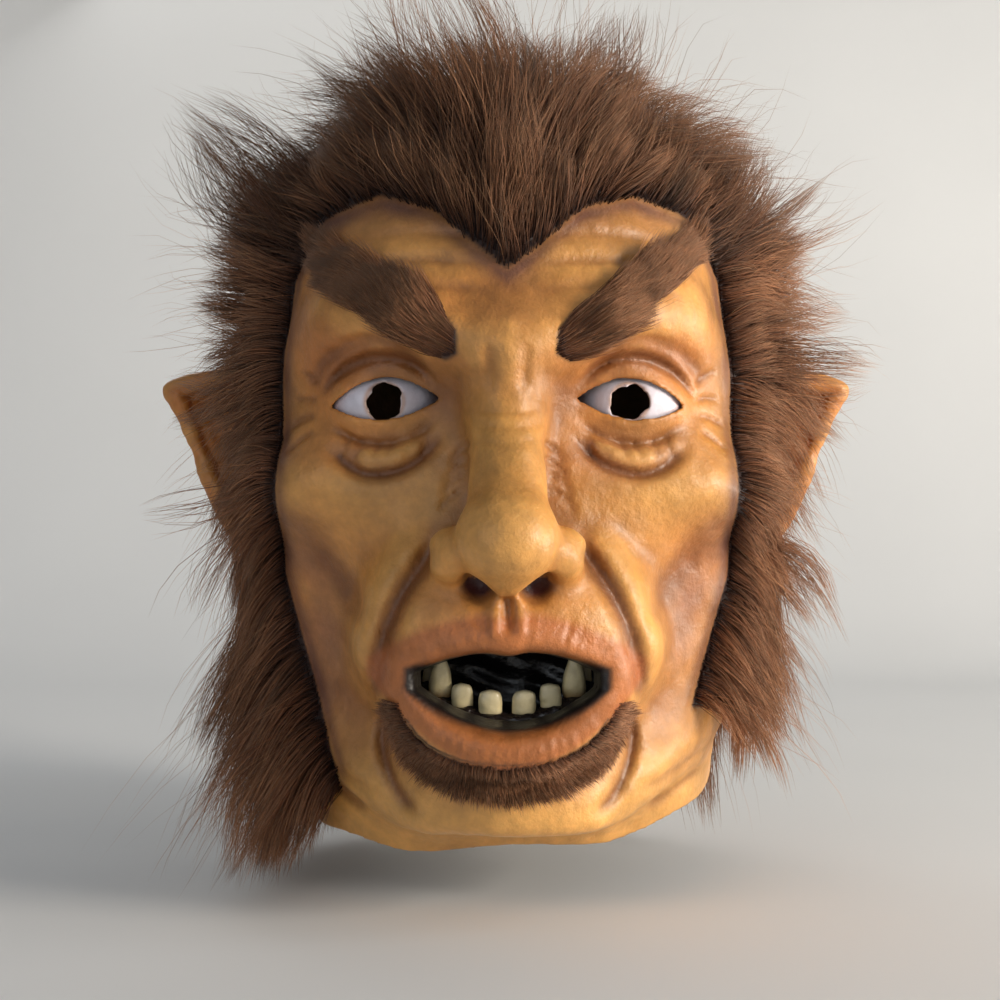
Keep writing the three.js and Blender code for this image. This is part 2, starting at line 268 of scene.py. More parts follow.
def normalised(field, step):
    """The field divided by its slope, which makes it a true distance near its surface."""
    slope = sum(g * g for g in np.gradient(field, step))
    return np.clip(field / np.sqrt(np.maximum(slope, 0.04)), -FAR, FAR).astype(np.float32)


def unit(vectors):
    return vectors / np.maximum(np.linalg.norm(vectors, axis=-1, keepdims=True), 1e-9)


class Sculpted:
    """The finished outer surface of the latex, for what is glued onto it."""

    def __init__(self, clay, outer):
        self.clay = clay
        self.field = blurred(np.clip(outer, -12, 30), 1)
        self.low = clay.low + clay.step
        self.high = clay.low + clay.step * (np.array(outer.shape) - 2)

    def gap(self, points):
        """Distance of points above the surface."""
        inside = ((points > self.low) & (points < self.high)).all(1)
        far = head_distance(*points.T)
        return np.where(inside, self.clay.sample(points, self.field), far)

    def normal(self, points):
        e = 1.5
        slopes = []
        for axis in range(3):
            shift = np.zeros(3)
            shift[axis] = e
            slopes.append(self.gap(points + shift) - self.gap(points - shift))
        return unit(np.stack(slopes, axis=1))

    def onto(self, points):
        """Points moved onto the surface."""
        for _ in range(4):
            points = points - self.normal(points) * self.gap(points)[:, None]
        return points


# ---- folds and creases, drawn in front view ----

class Relief:
    """A map of how deep the face is pressed in at each place of its front view."""

    def __init__(self, step=0.5):
        self.step = step
        self.low = np.array([-90.0, -140.0])
        self.map = np.zeros((int(180 / step), int(250 / step)), np.float32)

    def stroke(self, points, width, depth, taper=0.25):
        """A groove (or a ridge, if depth is negative) along a curve, fading at both ends."""
        path = curve_points(points, 16)
        reach = 3 * width
        low = ((path.min(0) - reach - self.low) / self.step).astype(int).clip(0)
        high = ((path.max(0) + reach - self.low) / self.step).astype(int) + 1
        span = (slice(low[0], high[0]), slice(low[1], high[1]))
        here = self.map[span]
        x = (self.low[0] + self.step * (low[0] + np.arange(here.shape[0])))[:, None]
        z = (self.low[1] + self.step * (low[1] + np.arange(here.shape[1])))[None, :]
        best = np.full(here.shape, 1e9, np.float32)
        along = np.zeros(here.shape, np.float32)
        count = len(path) - 1
        for i, (a, b) in enumerate(zip(path[:-1], path[1:])):
            d = b - a
            t = np.clip(((x - a[0]) * d[0] + (z - a[1]) * d[1]) / max(float(d @ d), 1e-6), 0, 1)
            gap = (x - a[0] - t * d[0]) ** 2 + (z - a[1] - t * d[1]) ** 2
            nearer = gap < best
            best = np.where(nearer, gap, best)
            along = np.where(nearer, (i + t) / count, along)
        fade = step_between(0, taper, along) * step_between(0, taper, 1 - along)
        here += depth * fade * np.exp(-best / (width * width))

    def both(self, points, width, depth, taper=0.25):
        """The same stroke on both sides."""
        for side in (1, -1):
            self.stroke([(side * x, z) for x, z in points], width, depth, taper)

    def at(self, x, z, values=None):
        values = self.map if values is None else values
        i = np.clip(((x - self.low[0]) / self.step).astype(int), 0, values.shape[0] - 1)
        j = np.clip(((z - self.low[1]) / self.step).astype(int), 0, values.shape[1] - 1)
        return values[i, j]

    def soft_at(self, x, z):
        """The grooves alone, spread as an airbrush spreads paint over them."""
        soft = blurred(np.clip(self.map, 0, 3)[:, :, None], 5)[:, :, 0]
        return self.at(x, z, soft)


def almond(x, z, half_width, up, down):
    """Distance in front view to an eye opening with pointed corners, negative inside."""
    u = np.clip(np.abs(x) / half_width, 0, 3)
    edge = np.maximum(1 - u * u, -1.0)
    height = np.where(z > 0, up, down)
    return (np.abs(z) - height * edge) * 0.8


def mouth_distance(x, z):
    """Distance in front view to the mouth opening: a flat bow above, a deep curve below."""
    u = x / MOUTH["half_width"]
    top = MOUTH["z"] + MOUTH["half_height"] * (0.98 - 0.55 * u * u - 0.12 * np.exp(-(x / 4.5) ** 2))
    bottom = MOUTH["z"] - MOUTH["half_height"] * (1.02 - 1.0 * u * u)
    outside = np.maximum(z - top, bottom - z) * 0.85
    return np.maximum(outside, (np.abs(x) - MOUTH["half_width"]) * 0.7)


def draw_folds(relief, rng):
    """Folds and wrinkles: lids, bags, brow, nose, forehead, cheeks, mouth and neck."""
    ex = EYE[0]
    # upper lid crease, brow fold, two bags under the eye and the swelling between them
    relief.both([(ex - 18, 1), (ex - 9, 10), (ex + 3, 12.5), (ex + 14, 8), (ex + 21, -1)], 1.5, 2.0)
    relief.both([(ex - 14, 7), (ex, 17.5), (ex + 16, 13.5), (ex + 25, 3)], 2.2, 1.2)
    relief.both([(ex - 17, -4), (ex - 6, -11), (ex + 6, -11.5), (ex + 18, -5)], 1.3, 1.3)
    relief.both([(ex - 19, -7), (ex - 8, -18), (ex + 6, -20.5), (ex + 20, -11)], 1.9, 2.1)
    relief.both([(ex - 12, -10), (ex - 2, -15.5), (ex + 10, -14)], 3.4, -1.3)
    for k in range(4):
        start = (ex + 19 + 0.6 * k, 5 - 4.2 * k)
        end = (start[0] + 9 + rng.uniform(-1, 2), start[1] + 5 - 4.3 * k + rng.uniform(-1, 1))
        middle = ((start[0] + end[0]) / 2, (start[1] + end[1]) / 2 + 0.8)
        relief.both([start, middle, end], 0.9, 1.0)
    for k in range(6):
        x = ex - 13 + 4.6 * k + rng.uniform(-0.8, 0.8)
        relief.both([(x, -8.5 - 2 * math.sin(k * 0.6)), (x + 1.5, -12 - rng.uniform(0, 2)),
                     (x + 3.5, -15 - rng.uniform(0, 3))], 0.7, 0.5)
    # frown lines between the brows and across the root of the nose
    relief.both([(4.5, 1), (5.0, 8), (5.5, 16)], 1.5, 0.7)
    relief.stroke([(0, 2), (0.6, 12), (0.2, 26)], 2.2, -0.4)
    for k, z in enumerate((-3.5, -8, -12.5)):
        end, bow = 10 + k, 1.2 + 0.5 * k
        relief.stroke([(-end, z + bow), (-4, z - 0.4), (4, z - 0.2), (end, z + bow)], 1.0, 0.5 - 0.1 * k)
    for k in range(4):
        z = -11 - 4.4 * k
        relief.both([(9 + 0.8 * k, z), (13.5 + k, z - 3.2 + rng.uniform(-0.6, 0.6)), (17 + k, z - 8)],
                    0.9, 0.9)
    # plain level lines across the forehead
    for z, depth in ((30, 0.7), (38, 0.8), (46, 0.6)):
        relief.both([(5, z), (20, z + 1.5), (36, z + 1.5), (52, z - 1)], 1.5, depth)
        relief.both([(6, z + 4), (24, z + 5.5), (46, z + 4)], 2.6, -0.35)
    # cheek folds: nose to mouth, its roll, and the hollow under the cheekbone
    relief.both([(17, -36), (24, -46), (32, -60), (36.5, -76), (37, -92)], 2.7, 2.3)
    relief.both([(22, -34), (32, -46), (40, -61), (43, -78)], 4.6, -2.0)
    relief.both([(36, -64), (47, -54), (60, -38)], 5.0, 1.3)
    # beside and under the mouth
    relief.both([(31, -84), (36, -97), (31, -111), (22, -118)], 2.1, 1.9)
    relief.both([(13, -103.5), (22, -100), (28, -94)], 1.8, 1.2)
    relief.stroke([(-15, -104), (0, -106), (15, -104)], 2.0, 1.5)
    relief.both([(2.8, -53), (3.2, -59), (4.4, -66)], 1.5, -1.0)
    relief.stroke([(0, -53), (0, -59), (0, -65.5)], 1.7, 1.2)
    # fine lines that fan out around the lips
    for side in (1, -1):
        for k in range(11):
            u = (k + 0.5 + rng.uniform(-0.25, 0.25)) / 11
            x = side * (4 + 27 * u)
            lean = side * (1.0 + 5.5 * u)
            top = -68.5 - 6 * u * u
            length = rng.uniform(7, 12)
            relief.stroke([(x, top), (x + lean * 0.5, top + length * 0.5), (x + lean, top + length)],
                          0.75, rng.uniform(0.2, 0.5))
        for k in range(9):
            u = (k + 0.5) / 9
            x = side * 26 * u
            bottom = -97 + 9 * u * u
            relief.stroke([(x, bottom + 3), (x + side * 2 * u, bottom - 2.5), (x + side * 4 * u, bottom - 7)],
                          0.8, rng.uniform(0.25, 0.55))
    # loose folds of the neck
    for k, z in enumerate((-113, -121)):
        relief.both([(34 + 6 * k, z), (50, z + 5), (62, z + 12)], 2.2, 1.0)


def draw_creases(relief, rng):
    """Fine creases: vertical on the lips, and short crossing lines on the face."""
    for side in (1, -1):
        for k in range(13):
            u = (k + rng.uniform(0.1, 0.9)) / 13
            x = side * 29 * u
            top = MOUTH["z"] + MOUTH["half_height"] * (1 - 0.55 * u * u)
            bottom = MOUTH["z"] - MOUTH["half_height"] * (1 - u * u)
            relief.stroke([(x, top), (x + side * 1.2 * u, top + 6.5)], 0.45, rng.uniform(0.3, 0.55), 0.4)
            relief.stroke([(x * 0.93, bottom), (x, bottom - 8)], 0.5, rng.uniform(0.3, 0.6), 0.4)
    for _ in range(420):
        x, z = rng.uniform(-62, 62), rng.uniform(-116, 50)
        if mouth_distance(np.array(x), np.array(z)) < 7:
            continue
        heading = math.atan2(z + 30, x) + math.pi / 2 + rng.normal(0, 0.45)
        length = rng.uniform(2.5, 7)
        dx, dz = length * math.cos(heading), length * math.sin(heading)
        bend = rng.uniform(-0.8, 0.8)
        relief.stroke([(x - dx, z - dz), (x + bend, z - bend), (x + dx, z + dz)],
                      0.5, rng.uniform(0.10, 0.34))


# ---- the latex head ----

def sculpt_face(clay):
    """Adds the features of a plain creature face to the bare head."""
    ex, ez = EYE[0], EYE[2]
    work = clay.work
    # brow ridge and its middle, cheekbones, hollows of the cheeks and temples
    work(tube([(9, -91, 13), (27, -88.5, 20), (45, -77, 25), (58, -60, 22)], [6, 7.5, 7, 4]), 15)
    work(ellipsoid((0, -91, 12), (11, 9, 11)), 12)
    work(ellipsoid((50, -66, -25), (20, 17, 13)), 18)
    work(ellipsoid((60, -92, -66), (17, 22, 26)), 22, carve=True)
    work(ellipsoid((84, -64, 34), (16, 24, 20)), 18, carve=True)
    # eye sockets, then the swelling of the lids
    work(ellipsoid((ex - 1, -103, ez - 1), (23, 18, 13)), 13, carve=True)
    work(ellipsoid((ex, EYEBALL_Y, ez), (18.5, 18.2, 14)), 4)
    # muzzle, chin and jaw
    work(ellipsoid((0, -83, -72), (36, 22, 27)), 18)
    work(ellipsoid((0, -82, -113), (21, 16, 12)), 14)
    work(ellipsoid((66, -92, -116), (33, 36, 34)), 20, carve=True)
    work(tube([(64, -18, -70), (55, -42, -90), (39, -66, -106), (20, -82, -115)], [9, 10, 10, 9]), 12)
    work(ellipsoid((0, -86, -142), (40, 24, 15)), 12, carve=True)
    # nose: bridge, tip, wings and the bar between the nostrils
    work(tube([(0, -88, 4), (0, -96, -10), (0, -106, -26), (0, -113, -36)], [7, 7.5, 8.5, 9]), 9)
    work(ellipsoid((0, -115, -39.5), (11.5, 11.3, 9.5)), 7)
    work(ellipsoid((14.5, -104, -43), (8.5, 10.5, 7.8)), 5)
    work(ellipsoid((0, -110, -47), (4.5, 8, 5)), 5)
    work(ellipsoid((8, -109, -51.5), (4.4, 6.4, 5.5), turn=18), 2.5, carve=True)
    # lips: rolls along the opening, then the pocket of the mouth between them
    work(tube([(-29, -95, -79), (-17, -102, -69.5), (0, -105.5, -66.5), (17, -102, -69.5), (29, -95, -79)],
              [2.6, 4.4, 5.2, 4.4, 2.6], 20), 3.5, both=False)
    work(tube([(-29, -95, -79), (-19, -100, -92), (0, -104, -96.5), (19, -100, -92), (29, -95, -79)],
              [2.6, 5.2, 6.3, 5.2, 2.6], 20), 4, both=False)
    work(tube([(30, -93, -78), (34, -89, -82)], [3.4, 3.0], 4), 5)


def open_mouth_pocket(clay):
    """Carves the mouth's pocket, so that the lips roll inwards."""
    spans, x, y, z = clay.window((-40, -140, -105), (40, -62, -55))
    gap = mouth_distance(x, z)
    pocket = np.maximum(gap + 0.10 * np.maximum(y + 104, 0), y + 70)
    clay.field[spans] = smooth_max(clay.field[spans], -pocket, 5.0)


def press(clay, relief):
    """Presses the relief into the front of the field."""
    spans, x, y, z = clay.window((-89, -140, -139), (89, -12, 100))
    fade = step_between(-20, -55, y)
    clay.field[spans] += relief.at(x, z) * fade


def hem_height(x, y):
    return HEM_HEIGHT + HEM_FALL * y + HEM_LEAN * x


def sculpt_latex():
    """The head as a thin shell with its openings, and what the fur and paint need from it."""
    rng = np.random.default_rng(SEED)
    clay = Clay((-88, -134, -140), (88, 102, 107), VOXEL)
    x, y, z = clay.grid()
    clay.field[:] = head_distance(x, y, z)
    clay.field = normalised(clay.field, clay.step)
    sculpt_face(clay)
    folds = Relief()
    draw_folds(folds, rng)
    press(clay, folds)
    closed = clay.field.copy()
    open_mouth_pocket(clay)
    outer = clay.field.copy()
    shell = np.maximum(outer, -(outer + LATEX))
    # knife-cut hem
    hem = (hem_height(x, y) + 0.8 * np.sin(0.11 * x + 1) + 0.5 * np.sin(0.23 * y)) - z
    shell = smooth_max(shell, hem, 0.8)
    clay.field = shell.astype(np.float32)
    # eye openings
    for side in (1, -1):
        spans, ox, oy, oz = clay.window((side * EYE[0] - 22, -110, -16), (side * EYE[0] + 22, -60, 16))
        across = ox - side * EYE[0]
        gap = almond(across, oz - EYE[2] + 0.06 * side * across, 15.5, 6.4, 5.0)
        clay.field[spans] = smooth_max(clay.field[spans], -(gap + 0 * oy), 1.2)
    # the back of the mouth's pocket and the ends of the nostrils
    spans, ox, oy, oz = clay.window((-38, -93, -104), (38, -60, -56))
    pocket_back = np.maximum(-91 - oy, mouth_distance(ox, oz) - 5.5)
    clay.field[spans] = np.maximum(clay.field[spans], -pocket_back)
    clay.work(ellipsoid((8, -107.5, -47.5), (2.6, 3.6, 8), turn=18), 0.6, carve=True)
    return clay, outer, closed, folds


def vertex_normals(points, faces):
    a, b, c, d = [points[faces[:, k]] for k in range(4)]
    face = np.cross(c - a, d - b)
    normal = np.zeros_like(points)
    for k in range(4):
        for axis in range(3):
            normal[:, axis] += np.bincount(faces[:, k], face[:, axis], len(points))
    return unit(normal)


def wobble(points, scale, seed):
    """Smooth noise in -1..1: a few sine waves in random directions."""
    rng = np.random.default_rng(seed)
    total = np.zeros(len(points))
    for _ in range(7):
        direction = rng.normal(size=3)
        direction /= np.linalg.norm(direction)
        turns = points @ direction * (2 * math.pi / scale) * rng.uniform(0.6, 1.5)
        total += np.sin(turns + rng.uniform(0, 7))
    return total / 3.2


def uneven(points, normals, *waves):
    """Points moved along their normals by waves of (height, length, seed), as on hand-made latex."""
    lift = sum(height * wobble(points, length, seed) for height, length, seed in waves)
    return points + normals * lift[:, None]


# ---- meshes and materials ----

def mesh_piece(name, points, faces, node, material, paint):
    """A smooth-shaded piece from points in millimetres and a list of equal-sided face arrays."""
    mesh = bpy.data.meshes.new(name)
    faces = faces if isinstance(faces, list) else [faces]
    corners = np.concatenate([f.ravel() for f in faces]).astype(np.int32)
    sizes = np.concatenate([np.full(len(f), f.shape[1]) for f in faces]).astype(np.int32)
    starts = (np.cumsum(sizes) - sizes).astype(np.int32)
    mesh.vertices.add(len(points))
    mesh.vertices.foreach_set("co", (np.asarray(points) * MM).astype(np.float32).ravel())
    mesh.loops.add(len(corners))
    mesh.loops.foreach_set("vertex_index", corners)
    mesh.polygons.add(len(sizes))
    mesh.polygons.foreach_set("loop_start", starts)
    mesh.polygons.foreach_set("loop_total", sizes)
    mesh.update(calc_edges=True)
    mesh.shade_smooth()
    layer = mesh.color_attributes.new("paint", "FLOAT_COLOR", "POINT")
    colours = np.ones((len(points), 4), np.float32)
    colours[:, :3] = paint
    layer.data.foreach_set("color", colours.ravel())
    mesh.materials.append(material)
    piece = bpy.data.objects.new(name, mesh)
    bpy.context.collection.objects.link(piece)
    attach(piece, "root")
    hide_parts(node)
    return piece


class Shader:
    """A material with a Principled shader and short calls that add nodes to it."""

    def __init__(self, name, **uniform):
        self.material = bpy.data.materials.new(name)
        self.material.use_nodes = True
        self.tree = self.material.node_tree
        self.principled = self.tree.nodes["Principled BSDF"]
        for socket, value in uniform.items():
            self.principled.inputs[socket.replace("_", " ")].default_value = value
        self.place = self.node("ShaderNodeTexCoord").outputs["Object"]

    def node(self, kind, **settings):
        node = self.tree.nodes.new(kind)
        for key, value in settings.items():
            setattr(node, key, value)
        return node

    def link(self, a, b):
        self.tree.links.new(a, b)

    def noise(self, scale, detail=4.0, roughness=0.55):
        node = self.node("ShaderNodeTexNoise")
        node.inputs["Scale"].default_value = scale
        node.inputs["Detail"].default_value = detail
        node.inputs["Roughness"].default_value = roughness
        self.link(self.place, node.inputs["Vector"])
        return node.outputs["Fac"]

    def spread(self, value, low, high, start, end):
        node = self.node("ShaderNodeMapRange")
        self.link(value, node.inputs["Value"])
        for socket, number in (("From Min", start), ("From Max", end), ("To Min", low), ("To Max", high)):
            node.inputs[socket].default_value = number
        return node.outputs["Result"]

    def mottle(self, scale, detail, low, high, start=0.3, end=0.7):
        """Noise between low and high: most of its values lie between start and end."""
        return self.spread(self.noise(scale, detail), low, high, start, end)

    def times(self, a, b):
        """The product of two colours, each a socket or a fixed colour."""
        node = self.node("ShaderNodeMix", data_type="RGBA", blend_type="MULTIPLY")
        node.inputs[0].default_value = 1.0
        for socket, value in ((6, a), (7, b)):
            if isinstance(value, bpy.types.NodeSocket):
                self.link(value, node.inputs[socket])
            else:
                node.inputs[socket].default_value = (*value, 1.0)
        return node.outputs[2]

    def paint(self):
        return self.node("ShaderNodeAttribute", attribute_name="paint").outputs["Color"]

    def bump(self, height, strength, distance):
        node = self.node("ShaderNodeBump")
        node.inputs["Strength"].default_value = strength
        node.inputs["Distance"].default_value = distance
        self.link(height, node.inputs["Height"])
        if self.principled.inputs["Normal"].is_linked:
            self.link(self.principled.inputs["Normal"].links[0].from_socket, node.inputs["Normal"])
        self.link(node.outputs["Normal"], self.principled.inputs["Normal"])

    def colour(self, value):
        self.link(value, self.principled.inputs["Base Color"])

    def roughness(self, value):
        self.link(value, self.principled.inputs["Roughness"])


def latex_material(name):
    shader = Shader(name, Coat_Weight=0.16, Coat_Roughness=0.28, Subsurface_Weight=0.06)
    shader.principled.inputs["Subsurface Radius"].default_value = (0.004, 0.0015, 0.0006)
    shader.principled.inputs["Subsurface Scale"].default_value = 1.0
    clouds = shader.mottle(55, 5, 0.86, 1.14)
    specks = shader.mottle(420, 3, 0.93, 1.05, 0.35, 0.65)
    shader.colour(shader.times(shader.paint(), shader.times(clouds, specks)))
    shader.roughness(shader.mottle(130, 6, 0.36, 0.58))
    shader.bump(shader.noise(900, 4, 0.6), 0.35, 0.0006)
    shader.bump(shader.noise(230, 5), 0.45, 0.0012)
    return shader.material


def painted_material(name, roughness, bump, coat):
    shader = Shader(name, Coat_Weight=coat, Coat_Roughness=0.1)
    shader.colour(shader.times(shader.paint(), shader.mottle(180, 4, 0.88, 1.10)))
    shader.roughness(shader.mottle(300, 4, *roughness))
    shader.bump(shader.noise(500, 4), bump, 0.001)
    return shader.material


def fur_material(name):
    shader = Shader(name, Specular_IOR_Level=0.22, Sheen_Weight=0.06, Sheen_Roughness=0.4)
    shader.colour(shader.times(shader.paint(), shader.mottle(260, 3, 0.85, 1.15)))
    shader.roughness(shader.mottle(150, 2, 0.42, 0.6))
    shader.bump(shader.noise(2500, 2), 0.15, 0.0003)
    return shader.material


# ---- paint on the latex ----

ORANGE = np.array([0.56, 0.225, 0.048])
YELLOW = np.array([0.72, 0.37, 0.10])
OLIVE = np.array([0.38, 0.21, 0.045])
PURPLE = np.array([0.205, 0.075, 0.062])
BROWN = np.array([0.215, 0.070, 0.018])
LIP = np.array([0.44, 0.13, 0.035])
MAROON = np.array([0.05, 0.008, 0.008])
# painted shade: a dark brown for the inner wall of the shell, which lies in shade inside the head
INSIDE = np.array([0.11, 0.06, 0.03])
GLUE = np.array([0.015, 0.010, 0.009])
BLACK = np.array([0.012, 0.008, 0.007])

# Edge of the bare face on the left, from its middle top down; the first CORNER + 1 points are its top
HAIRLINE = np.array([(0, 36), (9, 43), (22, 55), (37, 60), (54, 55), (64, 38), (67, 10), (67, -50),
                     (50, -106)])
CORNER = 4


def hairline_distance(x, z):
    """Signed distance in front view to the edge of the bare face, negative on the bare face."""
    u = np.abs(x)
    top = np.interp(u, *HAIRLINE[:CORNER + 1].T)
    side = np.interp(-z, -HAIRLINE[CORNER:, 1], HAIRLINE[CORNER:, 0])
    return np.maximum((z - top) * 0.75, u - side)


def blob(x, z, cx, cz, rx, rz, power=2):
    """A soft patch in front view, on both sides of the face."""
    return np.exp(-(((np.abs(x) - cx) / rx) ** 2 + ((z - cz) / rz) ** 2) ** (power / 2))


def painted(count, base, *layers):
    """The colours of count points: a base with layers of (colour, share) over it, in order."""
    paint = np.tile(base, (count, 1))
    for colour, share in layers:
        paint = paint + (colour - paint) * np.clip(share, 0, 1)[:, None]
    return paint


def paint_skin(points, normals, clay, outer, folds):
    """Airbrushed colours from the place on the face, the folds and how hollow the surface is."""
    x, y, z = points.T

    def spot(*form):
        return blob(x, z, *form)

    hollow = -clay.sample(points, blurred(np.clip(outer[::2, ::2, ::2], -8, 8), 2), 2 * clay.step)
    depth = folds.at(x, z)
    wash = folds.soft_at(x, z)
    front = step_between(-10, -45, y)
    cloud = 0.5 + 0.5 * wobble(points, 55, 3)
    patch = 0.5 + 0.5 * wobble(points, 19, 4)
    cheek = np.exp(-(((np.abs(x) - 60 + 0.26 * (-z - 40)) / 8.5) ** 2)) * step_between(-24, -44, z)
    # what the fur covers, painted dark as the shade under it, and a painted shadow along its edge
    covered = np.maximum.reduce([keep(points) for keep in (
        crown_keep, side_keep(1, LEFT_END), side_keep(-1, RIGHT_END), nape_keep)])
    edge = hairline_distance(x, z)
    rim = 0.6 * np.exp(-((edge + 1) / 2.4) ** 2) + 0.30 * np.exp(-((edge + 3) / 6) ** 2) * patch
    fur_end = np.where(x > 0, LEFT_END, RIGHT_END)
    chin = chin_gap(x, z)
    strip = np.maximum.reduce([brow_gap(1)(x, z), brow_gap(-1)(x, z), chin])
    # glue that squeezed out along the upper edge of the chin strip
    glue = np.exp(-((chin + 0.3) / 0.45) ** 2) * (chin_ring(x, z) < 1) * (z < -88)
    # the mouth: its painted lips, the black behind them and where they roll in, and the nostrils
    mouth = mouth_distance(x, z)
    lips = step_between(10.5, 7.5, mouth) * front
    deep = step_between(-106, -102, y) * step_between(2.6, 1.0, mouth) * (y < -60)
    rolled = step_between(0.8, -0.5, mouth) * front
    nostril = spot(8, -50.5, 4.6, 4.4, 4) * (normals[:, 2] < 0.35) * (y > -114.5) * (y < -98)
    colour = painted(
        len(points), ORANGE,
        (YELLOW, 0.60 * cloud * front),
        (YELLOW, 0.90 * step_between(-98, -118, z)),
        # airbrushed highlights on the cheekbones, the nose, the forehead and the chin
        (YELLOW, 0.6 * spot(44, -26, 16, 12) + 0.55 * spot(0, -38, 12, 12)),
        (YELLOW, 0.5 * spot(24, 40, 20, 7) + 0.5 * spot(0, -113, 13, 8)),
        (OLIVE, 0.55 * spot(0, -16, 10, 20) + 0.3 * spot(20, -32, 10, 12)),
        (ORANGE * [1.0, 0.75, 0.6], 0.55 * spot(50, 12, 14, 16)),
        # airbrushed shade on the forehead, beside the root of the nose and under it
        (BROWN, 0.22 * spot(20, 27, 30, 7) + 0.30 * spot(0, 20, 9, 16)),
        (BROWN, 0.60 * spot(17, 3, 7, 8) + 0.25 * spot(0, -60, 18, 6)),
        # airbrushed shadows under the cheekbones, along the jaw and around the eyes
        (PURPLE, 0.58 * cheek * step_between(-108, -84, z) * (0.6 + 0.4 * patch) * front),
        (PURPLE, 0.55 * spot(EYE[0] - 2, -15.5, 17, 6.5) * (0.6 + 0.5 * patch)),
        (PURPLE, 0.35 * spot(EYE[0], 12, 19, 5)),
        # painted shade in folds and hollows, painted highlights on what stands out, as the mask's airbrush
        # has them
        (BROWN, front * (0.55 * step_between(0.15, 1.3, wash))),
        (BROWN * 0.8, front * step_between(0.6, 2.2, depth) * 0.75),
        (BROWN, front * step_between(0.10, 0.9, hollow) * 0.50),
        (YELLOW * 1.08, front * step_between(0.25, 1.0, -hollow) * 0.45),
        (YELLOW * 1.05, front * step_between(0.3, 1.4, -depth) * 0.35),
        # painted shadow on the face along the edge of the fur
        (PURPLE * 0.55, front * rim * step_between(-8, 8, z - fur_end)),
        # painted shade: dark under the fur panels and the fur strips
        (ROOT_TONE * 1.3, step_between(0.0, 1.6, covered) + front * step_between(-0.6, 1.2, strip)),
        (LIP, lips * 0.85),
        (BROWN, front * 0.7 * step_between(3.0, 0.5, mouth)),
        (GLUE, front * glue * (0.4 + 0.6 * patch)),
        (BLACK, np.maximum(deep, rolled)),
        (MAROON, nostril * 1.3),
    )
    # painted shade on the inner wall of the shell
    colour[on_inner_wall(points, clay, outer)] = INSIDE
    return np.clip(colour * (1 + 0.08 * wobble(points, 24, 5) + 0.05 * wobble(points, 7, 6))[:, None], 0, 1)


def on_inner_wall(points, clay, outer):
    """True where a point lies on the inner wall of the shell."""
    return clay.sample(points, outer) < -0.5 * LATEX


def build_skin():
    clay, outer, closed, folds = sculpt_latex()
    points, faces = clay.mesh()
    normals = vertex_normals(points, faces)
    creases = Relief()
    draw_creases(creases, np.random.default_rng(SEED + 1))
    inner = on_inner_wall(points, clay, outer)
    facing = np.clip(-normals[:, 1] * 1.5, 0, 1) * ~inner
    points = points - normals * (creases.at(points[:, 0], points[:, 2]) * facing)[:, None]
    points = uneven(points, normals, (0.35, 38, 1), (0.12, 9, 2))
    mesh_piece("latex_skin_cast", points, faces, "latex_skin",
               latex_material("painted_latex"), paint_skin(points, normals, clay, outer, folds))
    return clay, outer, closed


# ---- ears ----

# Front outline of the left ear: over the top to the tip, down the rim to the lobe
EAR_OUTLINE = [(76, 14), (88, 17.5), (100, 17), (110, 14.5), (117.5, 10.5), (113.5, 1), (108, -12),
               (103, -25), (98.5, -35), (92, -41), (84, -40), (76, -36)]


def outline_distance(x, z, outline):
    """Signed distance in front view to a closed outline, negative inside."""
    best = None
    inside = np.zeros(np.broadcast(x, z).shape, bool)
    for a, b in zip(outline, outline[1:] + outline[:1]):
        dx, dz = b[0] - a[0], b[1] - a[1]
        t = np.clip(((x - a[0]) * dx + (z - a[1]) * dz) / (dx * dx + dz * dz), 0, 1)
        gap = (x - a[0] - t * dx) ** 2 + (z - a[1] - t * dz) ** 2
        best = gap if best is None else np.minimum(best, gap)
        crosses = (a[1] > z) != (b[1] > z)
        height = dz if dz else 1e-9
        inside ^= crosses & (x < a[0] + (z - a[1]) * dx / height)
    return np.where(inside, -1, 1) * np.sqrt(best)


